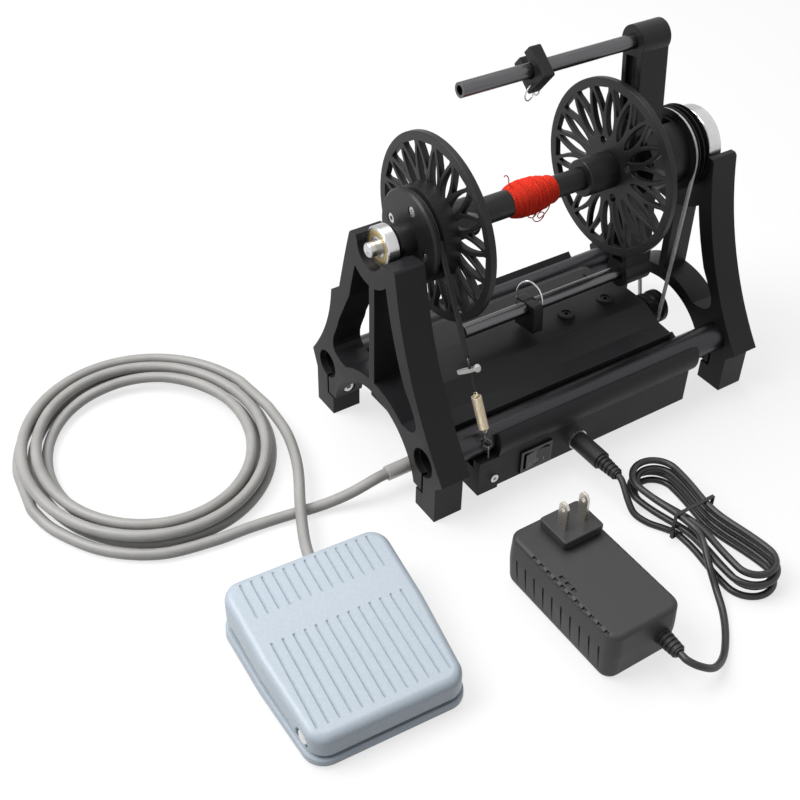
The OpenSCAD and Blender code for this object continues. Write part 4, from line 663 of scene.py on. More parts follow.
def adapter_cable_path():
    """Lead from the round plug, a hank of loops drawn in at the waist, and the tail to the adapter.
    A loop is 24 steps: half a straight run, a half turn, a straight run, a half turn, half a run."""
    half_w, pinch, waist, layer, low = 15.0, 5.0, 22.0, 4.4, 2.0
    straight, step, loops, cx, cy = 35.0, 4.5, 4, 0.0, -146.0
    at = np.arange(loops * 24 * 4 + 1) / 4.0
    s, q = at / 24, at % 24
    w = half_w - step * np.minimum(s % 2, 2 - s % 2)
    first, second = np.radians(180 + 22.5 * (q - 2)), np.radians(22.5 * (q - 14))
    runs = [q < 2, q < 10, q < 14, q < 22]
    x = np.select(runs, [-w, w * np.cos(first), w, w * np.cos(second)], -w)
    y = np.select(runs, [-straight * q / 2, -straight + w * np.sin(first), straight * (q - 12) / 2,
                         straight + w * np.sin(second)], straight * (24 - q) / 2)
    climb = [(1 - np.cos(math.pi * np.clip((s - k) * 6 + 0.5, 0, 1))) / 2 for k in range(1, loops)]
    x = x - np.sign(x) * pinch * np.exp(-(y / waist) ** 2)
    hank = np.column_stack([cx + x, cy + y, low + layer * sum(climb)])
    lead = through([[-16.5, -78.8, 13.5], [-16.5, -96.8, 13.5], [-17.5, -102.5, 12.2], [-19.8, -110, 7.6],
                    [-20.6, -117, 3.4], [-18, -125, 2], [-14, -132, 2], [-10.6, -138.2, 2], [-10, -142.2, 2]], 6)
    tail = through([[-10, -149.8, 15.2], [-10.8, -154, 15.2], [-14.5, -162, 14.6], [-19, -171, 11],
                    [-22.5, -181, 5], [-28, -192, 2.2], [-37, -203, 2], [-48, -212.5, 3], [-60, -217.5, 8],
                    [-69.5, -216, 14], [-73.5, -211, 16], [-73.5, -206.2, 16], [-73.5, -188, 16]], 6)
    return evenly(np.vstack([lead, hank, tail]), 1.6)


grey_path, black_path = pedal_cable_path(), adapter_cable_path()
grey_cord = tube("pedal_cable", grey_path, PEDAL_CABLE_D / 2, "base", pedal_cable, 18)
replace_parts(grey_cord, "pedal_cord_lead", "pedal_cord_coil", "pedal_cord_tail")
black_cord = tube("adapter_cable", black_path, ADAPTER_CABLE_D / 2, "base", adapter_cable, 14)
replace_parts(black_cord, "dc_lead", "dc_hank", "dc_tail")


# ---------------------------------------------------------------- the solids' own finishes

FINISHES = {
    frame_black: ["left_frame", "right_frame"],
    box_black: ["base_box", "base_cover", "side_bracket"],
    flyer_black: ["flyer_arm", "orifice_tube", "drive_whorl", "upper_slider", "lower_slider", "motor_pulley"],
    bobbin_black: ["left_flange", "right_flange", "brake_whorl", "bobbin_tube"],
    adapter_black: ["adapter_lower", "adapter_upper"],
    gloss_black: ["switch_bezel", "rocker", "micro_switch", "pedal_jack"],
    relief_black: ["cord_reliefs", "dc_plug", "hank_tie"],
    foot_black: ["pedal_feet"],
    rod_black: ["front_rod", "rear_rod"],
    flyer_rod: ["upper_rod", "lower_rod"],
    steel: ["motor", "spindle", "bearing_balls", "pedal_spring", "pedal_pin"],
    screw_steel: ["socket_screws", "whorl_screws"],
    bearing_steel: ["left_bearing_outer", "left_bearing_inner", "right_bearing_outer", "right_bearing_inner"],
    jack_steel: ["dc_jack", "brake_links"],
    sleeve_chrome: ["pedal_plug"],
    hook_chrome: ["upper_hook", "lower_hook"],
    blade_brass: ["plug_blades"],
    spring_brass: ["brake_spring"],
    board_green: ["controller_board"],
    tie_white: ["cable_tie"],
    pedal_blue: ["pedal_base", "pedal_cover"],
    red_yarn: ["yarn"],
    brake_braid: ["brake_cord"],
    clear_belt: ["drive_belt"],
    pedal_cable: ["pedal_cord_lead", "pedal_cord_coil", "pedal_cord_tail"],
    adapter_cable: ["dc_lead", "dc_hank", "dc_tail"],
}
for own, nodes in FINISHES.items():
    for node in nodes:
        SOLIDS[node].data.materials.clear()
        SOLIDS[node].data.materials.append(own.material)


# ---------------------------------------------------------------- belt

def belt_path():
    """The closed line round both pulleys: two arcs joined by their outer tangents."""
    (y0, z0, r0), (y1, z1, r1) = BELT_MOTOR, BELT_WHORL
    aim = math.atan2(z1 - z0, y1 - y0)
    lean = math.asin((r1 - r0) / math.hypot(z1 - z0, y1 - y0))
    big = np.linspace(aim - math.pi / 2 - lean, aim + math.pi / 2 + lean, 61)
    small = np.linspace(aim + math.pi / 2 + lean, aim + 3 * math.pi / 2 - lean, 41)
    arcs = np.vstack([np.column_stack([y1 + r1 * np.cos(big), z1 + r1 * np.sin(big)]),
                      np.column_stack([y0 + r0 * np.cos(small), z0 + r0 * np.sin(small)])])
    flat = np.vstack([arcs, arcs[:1]])
    return evenly(np.column_stack([np.full(len(flat), BELT_X), flat]), 1.2)[:-1]


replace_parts(tube("round_belt", belt_path(), BELT_D / 2, "base", clear_belt, 14, closed=True), "drive_belt")


# ---------------------------------------------------------------- yarn on the bobbin

def yarn_radius(t):
    """Radius of the wound yarn at t along it, from 0 at its left end to 1."""
    return YARN_THIN / 2 + (YARN_FAT - YARN_THIN) / 2 * np.sin(math.pi * np.clip(t, 0, 1) ** 0.75) ** 0.8


def wound_run(t0, t1, turns, under, phase, wander, seed):
    """One pass of yarn: it travels from t0 to t1 while it goes round, lies a little under the
    surface, and wanders a little to both sides."""
    rng = np.random.default_rng(seed)
    u = np.linspace(0, 1, turns * 22)
    slips = sum(a * np.sin(2 * math.pi * (f * u + p)) for a, f, p in zip(
        rng.uniform(0.3, 1.0, 5), rng.uniform(1, 9, 5), rng.uniform(0, 1, 5))) / 3
    t = np.clip(t0 + (t1 - t0) * u + slips * wander, 0.015, 0.985)
    r = yarn_radius(t) - under + 0.25 * np.sin(2 * math.pi * (rng.uniform(3, 8) * u + rng.uniform(0, 1)))
    w = 2 * math.pi * turns * u + phase
    return np.column_stack([YARN_X + t * YARN_L, AXIS[1] + r * np.cos(w), AXIS[2] + r * np.sin(w)])


def wound_core(end=0.6, sunk=1.3):
    """The inside of the winding: a turned body just under the outer passes."""
    t = np.linspace(0, 1, 32)
    r = np.maximum(yarn_radius(t) - sunk, TUBE_R + 0.15)
    r[0] = r[-1] = TUBE_R + 0.05
    return np.column_stack([YARN_X + end + t * (YARN_L - 2 * end), r])


def at_yarn(points):
    """Points given as distance along the axis, forward and up of it."""
    return np.asarray(points, float) + [YARN_X, AXIS[1], AXIS[2]]


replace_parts(on_axis("yarn_core", wound_core(), "bobbin", red_yarn, 40, closed=False), "yarn")
PASSES = [(0.01, 0.98, 46, 0.42, 0.0, 0.008, 1), (0.97, 0.02, 38, 0.2, 1.3, 0.010, 2),
          (0.02, 0.8, 30, 0.0, 2.2, 0.012, 3), (0.74, 0.05, 20, -0.15, 0.4, 0.02, 4),
          (0.06, 0.62, 17, -0.3, 4.0, 0.012, 5), (0.6, 0.12, 9, -0.42, 5.1, 0.03, 6)]
tubes("yarn_turns", [wound_run(*row) for row in PASSES], 0.36, "bobbin", red_yarn, 7)
LOOSE_ENDS = [
    [[3.5, -1.5, 7.5], [2.2, 0.5, 9.3], [1.6, 1.6, 11.2], [1.7, 2.0, 13.2], [0.9, 2.4, 15.0], [-0.4, 2.6, 15.6],
     [-1.1, 2.6, 14.9]],
    [[17, -5.5, -6.0], [16.2, -5.4, -8.6], [15.0, -5.0, -11.2], [16.6, -5.2, -13.6], [19.4, -5.6, -13.9],
     [21.6, -6.0, -11.6], [21.2, -6.0, -9.2], [19.0, -5.8, -8.4], [17.6, -5.6, -9.8], [18.6, -5.7, -12.0],
     [21.2, -6.0, -11.0], [24.5, -5.8, -8.0], [26.0, -5.2, -5.2]],
    [[8, -7, -4.5], [9.5, -7.4, -7.4], [12, -7.2, -8.9], [14, -6.6, -9.4], [16, -6, -8.6], [17, -5.4, -7]]]
tubes("yarn_loose_ends", [through(at_yarn(line), 8) for line in LOOSE_ENDS], 0.3, "bobbin", red_yarn, 7)


# ---------------------------------------------------------------- bobbin

def lens_half(t):
    """Half the width of a lens opening at t along it: pointed at both ends, widest before the middle."""
    return 2.9 * (np.sin(math.pi * np.clip(t, 0, 1) ** 0.82)) ** 0.8


def lace_openings(turn, count=18, inner=18.6, outer=43.9, rim=46.0, rib=2.3):
    """A ring of pointed lenses, and between their outer halves three-sided openings whose sides keep
    a rib of even width to the lenses."""
    t = np.linspace(0, 1, 15)
    r = inner + (outer - inner) * t
    lens = np.vstack([np.column_stack([r, lens_half(t)]), np.column_stack([r, -lens_half(t)])[::-1][1:-1]])
    r3 = np.linspace(30.5, rim, 14)
    half = np.clip(math.pi * r3 / count - lens_half((r3 - inner) / (outer - inner)) - rib, 0, 5.6)
    r3, half = r3[half > 0.25], half[half > 0.25]
    half[0] = 0.05
    tri_r = np.concatenate([r3, r3[::-1]])
    tri_w = np.concatenate([half, -half[::-1]]) / tri_r
    found = []
    for k in range(count):
        w = turn + 2 * math.pi * k / count
        found.append(np.column_stack([lens[:, 0] * math.cos(w) - lens[:, 1] * math.sin(w),
                                      lens[:, 0] * math.sin(w) + lens[:, 1] * math.cos(w)]))
        w += math.pi / count
        found.append(np.column_stack([tri_r * np.cos(w + tri_w), tri_r * np.sin(w + tri_w)]))
    return found


def screw_places(turn, radius, circle_r=16.4):
    """Four round openings on a circle, the first at turn degrees."""
    return [circle(radius, 20, (circle_r * math.cos(w), circle_r * math.sin(w)))
            for w in math.radians(turn) + np.arange(4) * math.pi / 2]


def rounded_ring(x0, x1, inner, outer, soft=0.8):
    """The outline of a ring with its outer edges rounded."""
    w = np.linspace(0, math.pi / 2, 6)
    near = np.column_stack([x0 + soft - soft * np.cos(w), outer - soft + soft * np.sin(w)])
    far = np.column_stack([x1 - soft + soft * np.sin(w), outer - soft + soft * np.cos(w)])
    return np.vstack([[[x0, inner]], near, far, [[x1, inner]]])


def bobbin_flange(name, node, x, turn, holes, collar):
    """A lace disc with rounded rims, and its collar, given by its two ends along the tube."""
    inside = TUBE_R + ON_TUBE
    verts, faces = flat_plate([circle(FLANGE_R, 128), circle(inside, 40)] + lace_openings(turn) + holes, FLANGE_T, 0.35)
    disc = np.column_stack([x + FLANGE_T / 2 + verts[:, 2], AXIS[1] + verts[:, 0], AXIS[2] + verts[:, 1]])
    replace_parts(crisp(piece(name, disc, faces, "bobbin", bobbin_black)), node)
    on_axis(name + "_collar", rounded_ring(*collar, inside, COLLAR_R), "bobbin", bobbin_black, 72)


LEFT_INSIDE, RIGHT_OUTSIDE = LEFT_FLANGE_X + FLANGE_T, RIGHT_FLANGE_X + FLANGE_T
bobbin_flange("left_lace", "left_flange", LEFT_FLANGE_X, math.radians(8), screw_places(10, 1.6),
              (LEFT_INSIDE - 0.1, LEFT_INSIDE + COLLAR_L))
bobbin_flange("right_lace", "right_flange", RIGHT_FLANGE_X, math.radians(2), screw_places(65, 2.2),
              (RIGHT_FLANGE_X - COLLAR_L, RIGHT_FLANGE_X + 0.1))
on_axis("right_lace_boss", rounded_ring(RIGHT_OUTSIDE - 0.1, RIGHT_OUTSIDE + 7.4, TUBE_R + ON_TUBE, 9.0),
        "bobbin", bobbin_black, 64)
on_axis("left_core_sleeve", rounded_ring(LEFT_INSIDE + COLLAR_L - 0.5, YARN_X + 6, TUBE_R + 0.02, 7.45, 0.3),
        "bobbin", bobbin_black, 64)


# ---------------------------------------------------------------- sliders and their hooks

def in_flyer(points):
    """From the flyer's own frame, which leans back about the axis, to the world."""
    p = np.asarray(points, float)
    c, v = math.cos(-LEAN), math.sin(-LEAN)
    return np.column_stack([p[:, 0], AXIS[1] + p[:, 1] * c - p[:, 2] * v, AXIS[2] + p[:, 1] * v + p[:, 2] * c])


def radius_of(node):
    """Half the height of a round bar, in millimetres."""
    low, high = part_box(node)
    return (high[2] - low[2]) / MM / 2


def split_square(side, corner, centre, bore, slot):
    """A rounded square that a bore opens out of through a slot to the right: one closed outline."""
    square = rounded_rectangle(side / 2, side / 2, corner, 5) + centre
    square = square[np.argsort(np.arctan2(square[:, 1], square[:, 0]) % (2 * math.pi))]
    gap = math.asin(slot / 2 / bore)
    w = np.linspace(-gap, gap - 2 * math.pi, 40)
    hole = bore * np.column_stack([np.cos(w), np.sin(w)])
    reach = square[:, 0].max()
    return np.vstack([[[reach, slot / 2]], square, [[reach, -slot / 2]], hole[:1], hole])


def small_slider(name, node, sign, side, centre, turn, long=7.0):
    """A split square plate round its rod, turned about it; sign is 1 on the upper rod."""
    bore = radius_of("lower_rod") + 0.25
    verts, faces = flat_plate([split_square(side, 1.2, centre, bore, bore * 1.25)], long, 0.45)
    c, v = math.cos(turn), math.sin(turn)
    local = np.column_stack([SLIDER_X + verts[:, 2], verts[:, 0] * c - verts[:, 1] * v,
                             sign * FLYER_R + verts[:, 0] * v + verts[:, 1] * c])
    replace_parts(crisp(piece(name, in_flyer(local), faces, SOLIDS[node]["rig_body"], flyer_black)), node)


def wire_hook(name, node, sign, lines, wire):
    """A bent wire through points given from its rod's middle at the slider."""
    runs = [through(in_flyer(np.asarray(line, float) + [SLIDER_X, 0, sign * FLYER_R]), 8) for line in lines]
    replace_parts(tubes(name, runs, wire / 2, SOLIDS[node]["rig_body"], hook_chrome, 12), node)


LOW_HOOK = [[-4.1, 6.5, -5], [-4.1, 6.5, 0], [-4.0, 6.4, 5], [-3.6, 6.0, 10], [-2.6, 4.2, 14], [-0.6, 1.4, 16],
            [1.4, -2.0, 15.2], [3.0, -5.0, 12], [3.9, -6.6, 7], [4.1, -6.9, 2], [4.1, -6.9, -5]]
HIGH_HOOK = [[-3.2, -3.0, -6.0], [-5.4, -3.4, -6.6], [-7.4, -3.6, -8.6], [-8.2, -3.2, -11.4], [-7.0, -2.4, -13.8],
             [-4.6, -1.4, -15.0], [-2.0, -0.6, -14.4], [-0.8, -0.4, -12.4], [-0.4, -0.2, -10.4]]
HIGH_TAIL = [[3.2, 1.2, -9.6], [4.2, 1.0, -11.4], [3.6, 0.4, -13.2], [1.8, 0.0, -14.0], [0.4, 0.0, -13.2],
             [0.0, 0.0, -11.4]]
small_slider("lower_split_slider", "lower_slider", -1, 17.6, (0.0, -4.6), 0.0)
small_slider("upper_split_slider", "upper_slider", 1, 18.0, (0.0, 0.0), math.radians(45))
wire_hook("lower_wire_hook", "lower_hook", -1, [LOW_HOOK], LOW_WIRE)
wire_hook("upper_wire_hook", "upper_hook", 1, [HIGH_HOOK, HIGH_TAIL], HIGH_WIRE)


# ---------------------------------------------------------------- pedal

PEDAL_L, PEDAL_FRONT, PEDAL_WAIST, PEDAL_REAR = 95.0, 80.0, 86.4, 88.0
PEDAL_H, TREAD_RISE = 20.0, 11.0 / 95.0
PIN_Y, PIN_Z, PIN_R, PIN_HEAD_R = -PEDAL_L / 2 + 12, 12.5, 2.0, 3.9
CHEEK_X, CHEEK_T, CHEEK_L, CHEEK_FOOT = 35.2, 3.6, 10.0, 3.0
SPRING_Y, SEAT_Z, RETURN_WIRE, RETURN_R, RETURN_TURNS = PEDAL_L / 2 - 18, 4.5, 1.1, 4.9, 8
TREAD_WALL, TRAY_WALL = 2.5, 1.5
TREAD_SKIRT, TRAY_RIM = (7.7, 14.8), (6.0, 8.8)
GROOVES, GROOVES_WIDE, GROOVE_ENDS = 13, 68.0, ((7.5, 55.5), (70.5, 91.0))


def in_pedal(points):
    """From the pedal's own frame to the world."""
    p = np.asarray(points, float)
    c, v = math.cos(PEDAL_TURN), math.sin(PEDAL_TURN)
    return np.column_stack([p[:, 0] * c - p[:, 1] * v, p[:, 0] * v + p[:, 1] * c, p[:, 2]]) + PEDAL


def pedal_ring(inset, corner=10.0):
    """The pedal's outline drawn in by inset: straight rear sides, sides that draw in towards the
    front, and round corners."""
    front, waist, rear, long = (v / 2 - inset for v in (PEDAL_FRONT, PEDAL_WAIST, PEDAL_REAR, PEDAL_L))
    r = corner - inset

    def arc(cx, cy, start):
        w = np.radians(np.linspace(start, start + 90, 11))
        return np.column_stack([cx + r * np.cos(w), cy + r * np.sin(w)])

    return np.vstack([arc(front - r, -long + r, -90), [[waist, 2.0]], arc(rear - r, long - r, 0),
                      arc(-rear + r, long - r, 90), [[-waist, 2.0]], arc(-front + r, -long + r, 180)])


def tread_z(y):
    """Height of the tread, which rises from front to rear."""
    return PEDAL_H + (y + PEDAL_L / 2) * TREAD_RISE


def skirt_z(y, ends):
    """Height of a lower edge that rises from front to rear, a little faster behind the pin."""
    t = np.clip((y + PEDAL_L / 2) / PEDAL_L, 0, 1)
    return ends[0] + (ends[1] - ends[0]) * t ** 0.85


def pedal_tread_body(soft=4.4):
    """Outer skin up the skirt and round the top edge, then the inner skin back down."""
    inner = pedal_ring(TREAD_WALL)
    rings = [ring_at(inner, tread_z(inner[:, 1]) - TREAD_WALL - 0.1)]
    for inset, up in ((TREAD_WALL, 0.0), (0.6, 0.0), (0.0, 0.6)):
        edge = pedal_ring(inset)
        rings.append(ring_at(edge, skirt_z(edge[:, 1], TREAD_SKIRT) + up))
    for w in np.linspace(0, math.pi / 2, 9):
        edge = pedal_ring(soft * (1 - math.cos(w)))
        rings.append(ring_at(edge, tread_z(edge[:, 1]) - soft * (1 - math.sin(w))))
    return lofted(rings)


def pedal_tray_body():
    """Inner skin up to the rim, over its lip and down outside to the floor."""
    inner = pedal_ring(TRAY_WALL)
    rings = [ring_at(inner, 3.5)]
    for inset, up in ((TRAY_WALL, 0.0), (-0.2, 0.0), (-1.0, -0.8)):
        edge = pedal_ring(inset)
        rings.append(ring_at(edge, skirt_z(edge[:, 1], TRAY_RIM) + up))
    return lofted(rings + [ring_at(pedal_ring(inset), z) for inset, z in ((-1.2, 2.4), (-0.3, 1.5))])


def groove_cutters(half=0.75, deep=0.95, up=1.0):
    """V grooves along the tread, in two sets either side of the bare band, with sloping ends."""
    cutters, wide = [], half * (deep + up) / deep
    for x in (np.arange(GROOVES) - (GROOVES - 1) / 2) * GROOVES_WIDE / (GROOVES - 1):
        for y0, y1 in np.array(GROOVE_ENDS) - PEDAL_L / 2:
            z0, z1 = tread_z(y0), tread_z(y1)
            verts = [[x - wide, y0 - 0.6, z0 + up], [x + wide, y0 - 0.6, z0 + up], [x, y0 + 0.8, z0 - deep],
                     [x - wide, y1 + 0.6, z1 + up], [x + wide, y1 + 0.6, z1 + up], [x, y1 - 0.8, z1 - deep]]
            cutters.append((in_pedal(verts), [[0, 1, 2], [3, 5, 4], [0, 3, 4, 1], [1, 4, 5, 2], [2, 5, 3, 0]]))
    return cutters


def pin_cutters(r=5.0, foot=4.1):
    """Round notches in the skirt over the pin's heads, open at the bottom."""
    w = np.radians(np.linspace(-20, 200, 23))
    arch = np.vstack([np.column_stack([PIN_Y + r * np.cos(w), PIN_Z - 0.4 + r * np.sin(w)]),
                      [[PIN_Y - foot, 4.0], [PIN_Y + foot, 4.0]]])
    found = []
    for side in (-1, 1):
        verts, faces = lofted([np.column_stack([np.full(len(arch), side * x), arch]) for x in (36.0, 46.0)])
        found.append((in_pedal(verts), faces))
    return found


def cord_cutter(half, low, high):
    """A notch in the rear wall, either side of the cord's end."""
    end = grey_path[-1] - PEDAL
    x = float(end[0] * math.cos(PEDAL_TURN) + end[1] * math.sin(PEDAL_TURN))
    verts, faces = box_arrays((x - half, PEDAL_L / 2 - 7, low), (x + half, PEDAL_L / 2 + 4, high))
    return [(in_pedal(verts), faces)]


def carved(name, shape, body, finish, *cuts):
    """A closed piece with sets of cutters taken out of it one after the other."""
    obj = piece(name, *shape, body, finish)
    tidy_mesh(obj)
    for cut in cuts:
        carve(obj, cut)
    dress(obj, finish)
    return crisp(obj)


def pin_outline(neck=37.4, dome_x=39.2, dome=1.6):
    """Half the outline of a pin with a domed head at each side, past the tray's cheeks."""
    w = np.linspace(0, math.pi / 2, 7)
    cap = np.column_stack([dome_x + dome * np.sin(w), PIN_HEAD_R * np.cos(w)])
    half = np.vstack([[[0, PIN_R], [neck, PIN_R], [neck, PIN_HEAD_R]], cap])
    return np.vstack([half[::-1] * [-1, 1], half[1:]])


def return_spring():
    """The coil that lifts the tread: open turns between two closed end turns, from the tray's
    floor to just under the tread."""
    low = SEAT_Z + RETURN_WIRE / 2
    high = tread_z(SPRING_Y - RETURN_R) - TREAD_WALL - 0.4 - RETURN_WIRE / 2
    w, turn = np.linspace(0, 1, 240), RETURN_WIRE / (high - low)
    rise = np.interp(w, [0, 0.12, 0.88, 1], [0, turn, 1 - turn, 1])
    a = 2 * math.pi * RETURN_TURNS * w
    return in_pedal(np.column_stack([RETURN_R * np.cos(a), SPRING_Y + RETURN_R * np.sin(a), low + (high - low) * rise]))


verts, faces = pedal_tread_body()
tread = carved("pedal_tread_plate", (in_pedal(verts), faces), SOLIDS["pedal_cover"]["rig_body"], pedal_blue,
               groove_cutters(), pin_cutters() + cord_cutter(half=3.9, low=5.0, high=17.0))
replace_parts(tread, "pedal_cover")
verts, faces = pedal_tray_body()
tray = carved("pedal_tray", (in_pedal(verts), faces), "base", pedal_blue, cord_cutter(half=3.35, low=6.9, high=20.0))
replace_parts(tray, "pedal_base")
verts, faces = joined([box_arrays((x - CHEEK_T / 2, PIN_Y - CHEEK_L / 2, CHEEK_FOOT),
                                  (x + CHEEK_T / 2, PIN_Y + CHEEK_L / 2, PIN_Z + 3.0)) for x in (-CHEEK_X, CHEEK_X)])
piece("pedal_pin_cheeks", in_pedal(verts), faces, "base", pedal_blue, smooth=False)
pin = turned("pedal_domed_pin", pin_outline(), in_pedal([[0, PIN_Y, PIN_Z]])[0],
             (math.cos(PEDAL_TURN), math.sin(PEDAL_TURN), 0), "base", hook_chrome, 40, closed=False)
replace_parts(pin, "pedal_pin")
coil = tube("pedal_return_spring", return_spring(), RETURN_WIRE / 2, "base", steel, 8)
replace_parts(coil, "pedal_spring")
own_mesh(coil)


# ---------------------------------------------------------------- brake line

def leaving_angle():
    """The angle at which the straight strand to the anchor leaves the brake whorl."""
    reach = BAND_ANCHOR - [BAND_X, AXIS[1], AXIS[2]]
    return math.atan2(reach[2], reach[1]) - math.acos(BAND_R / math.hypot(*reach))


LEAVE_AT = leaving_angle()
LEAVE = np.array([BAND_X, AXIS[1] + BAND_R * math.cos(LEAVE_AT), AXIS[2] + BAND_R * math.sin(LEAVE_AT)])
LINE_L = float(np.linalg.norm(BAND_ANCHOR - LEAVE))
DOWN = (BAND_ANCHOR - LEAVE) / LINE_L
SIDE = np.cross(DOWN, [1.0, 0, 0])
SIDE /= np.linalg.norm(SIDE)
ACROSS = np.cross(DOWN, SIDE)
RING_AT, TIE_AT, SPRING_AT = 0.56 * LINE_L, 0.60 * LINE_L, LINE_L - SPRING_L - 12.15
LINKS_AT = LINE_L - 6.9, LINE_L - 3.45


def on_line(s, a=0.0, b=0.0):
    """Points s millimetres down the front strand, a and b to its two sides."""
    s, a, b = np.broadcast_arrays(np.asarray(s, float), a, b)
    return LEAVE + s[..., None] * DOWN + a[..., None] * SIDE + b[..., None] * ACROSS


def brake_cord_runs():
    """Down the front strand to the ring; round the whorl and down the back; ring to spring; and a
    thin strand either side of the front one."""
    w = np.linspace(LEAVE_AT + 2 * math.pi, 0, 120)
    over = np.column_stack([np.full(120, BAND_X), AXIS[1] + BAND_R * np.cos(w), AXIS[2] + BAND_R * np.sin(w)])
    front = on_line(np.linspace(RING_AT - 2.4, 0.4, 40))
    back = np.column_stack([np.full(50, BAND_X), np.full(50, AXIS[1] + BAND_R), np.linspace(AXIS[2] - 0.6, 43.5, 50)])
    lower = on_line(np.linspace(RING_AT + 2.4, SPRING_AT - 2.6, 20))
    beside = [on_line(np.linspace(RING_AT - 2.0, 1.0, 40), np.linspace(0.2, 0.0, 40), side) for side in (-0.9, 0.9)]
    return [np.vstack([front, over, back]), lower] + beside


def ring_path(s, r, turn):
    """A closed wire ring in a plane that holds the strand, turned about it."""
    w = np.linspace(0, 2 * math.pi, 33)[:-1]
    return on_line(s + r * np.cos(w), r * np.sin(w) * math.cos(turn), r * np.sin(w) * math.sin(turn))


def wire_rings():
    """The ring that gathers the strands, two links under the spring, and the eye on its stem."""
    rings = [(ring_path(RING_AT, 2.0, 0.5), RING_WIRE), (ring_path(LINKS_AT[0], LINK_R, 0.78), LINK_WIRE),
             (ring_path(LINKS_AT[1], LINK_R, -0.78), LINK_WIRE)]
    w = np.linspace(-math.pi / 2 - 0.2, 1.5 * math.pi - 0.5, 34)
    eye = BAND_ANCHOR + LINK_R * np.column_stack([np.cos(w) * 0.71, np.cos(w) * 0.71, np.sin(w)])
    stem = np.column_stack([np.full(8, BAND_ANCHOR[0]), np.full(8, BAND_ANCHOR[1]), np.linspace(23.0, 33.2, 8)])
    parts = [tube_arrays(path, wire / 2, 12, closed=True)[:2] for path, wire in rings]
    parts.append(tube_arrays(np.vstack([stem, eye[1:]]), LINK_WIRE / 2, 12)[:2])
    return piece("brake_rings", *joined(parts), "base", link_dark)


def spring_line():
    """An extension spring: close coils between two hooks that stand up on its axis."""
    r = (SPRING_D - SPRING_WIRE) / 2
    w = np.linspace(0, 2 * math.pi * SPRING_COILS, SPRING_COILS * 22)
    coils = on_line(SPRING_AT + SPRING_L * w / w[-1], r * np.cos(w), r * np.sin(w))
    hook = np.linspace(0, 1.5 * math.pi, 20)
    out, side = 1.1 + 1.3 * np.sin(hook), r * np.cos(hook * 0.9) * 0.6
    top, low = on_line(SPRING_AT - out, side)[::-1], on_line(SPRING_AT + SPRING_L + out, side)
    return evenly(through(np.vstack([top, coils[4:-4], low]), 2), 0.35)


def zip_tie(long=4.8, thin=1.3, half_w=0.95, wall=0.4, off=1.6):
    """A flat band round the line, off to the right of it, with its round head at the right end."""
    at, right = on_line(TIE_AT + 0.4), np.array([0.832, -0.555, 0.0])
    along = right - DOWN * (right @ DOWN)
    along /= np.linalg.norm(along)
    out = np.cross(along, DOWN)
    w = np.linspace(0, 2 * math.pi, 49)[:-1]
    loop = np.column_stack([long * np.cos(w), thin * np.sin(w)])
    rings = []
    for grow, d in ((0.0, -half_w), (wall, -half_w), (wall, half_w), (0.0, half_w)):
        flat = loop * [(long + grow) / long, (thin + grow) / thin] - [off, 0]
        rings.append(at + flat[:, :1] * along + flat[:, 1:] * out + d * DOWN)
    band = crisp(piece("tie_band", np.vstack(rings), grid_faces(4, len(w), True), "base", tie_white))
    head = [[-1.6, 0.01], [-1.6, 1.5], [-1.2, 1.9], [1.2, 1.9], [1.6, 1.5], [1.6, 0.01]]
    turned("tie_head", head, at + along * 3.9, out, "base", tie_white, 32, closed=False)
    return band


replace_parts(tubes("brake_band", brake_cord_runs(), BRAKE_CORD_D / 2 + 0.1, "base", brake_braid, 10), "brake_cord")
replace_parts(wire_rings(), "brake_links")
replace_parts(tube("brake_extension_spring", spring_line(), SPRING_WIRE / 2, "base", spring_brass, 8), "brake_spring")
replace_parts(zip_tie(), "cable_tie")


# ---------------------------------------------------------------- bearing shield, spindle tip, rocker marks

def left_shield(inner=6.0, outer=9.2, dish=0.18, proud=0.02, thick=0.25):
    """The pressed shield of the left bearing: a shallow dished ring just proud of the balls."""
    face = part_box("left_bearing_outer")[0][0] / MM
    r = np.linspace(inner, outer, 9)
    skin = np.column_stack([face - dish * np.sin(math.pi * (r - inner) / (outer - inner)) - proud, r])
    back = [[face + thick, outer], [face + thick, inner]]
    on_axis("left_shield", np.vstack([skin, back]), "base", shield_gold, 72)


def spindle_dome(rise=1.4, bore=2.4, deep=6.0):
    """The turned tip at the spindle's left end: a short plug in its bore under a low dome."""
    end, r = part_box("spindle")[0][0] / MM, radius_of("spindle") - 0.05
    w = np.linspace(0, math.pi / 2, 7)
    cap = np.column_stack([end - 0.05 - rise * np.sin(w), r * np.cos(w) + 0.01])
    plug = [[end + deep, 0.01], [end + deep, bore], [end - 0.02, bore], [end - 0.02, r]]
    on_axis("spindle_dome", np.vstack([plug, cap]), SOLIDS["spindle"]["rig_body"], screw_steel, 40, closed=False)


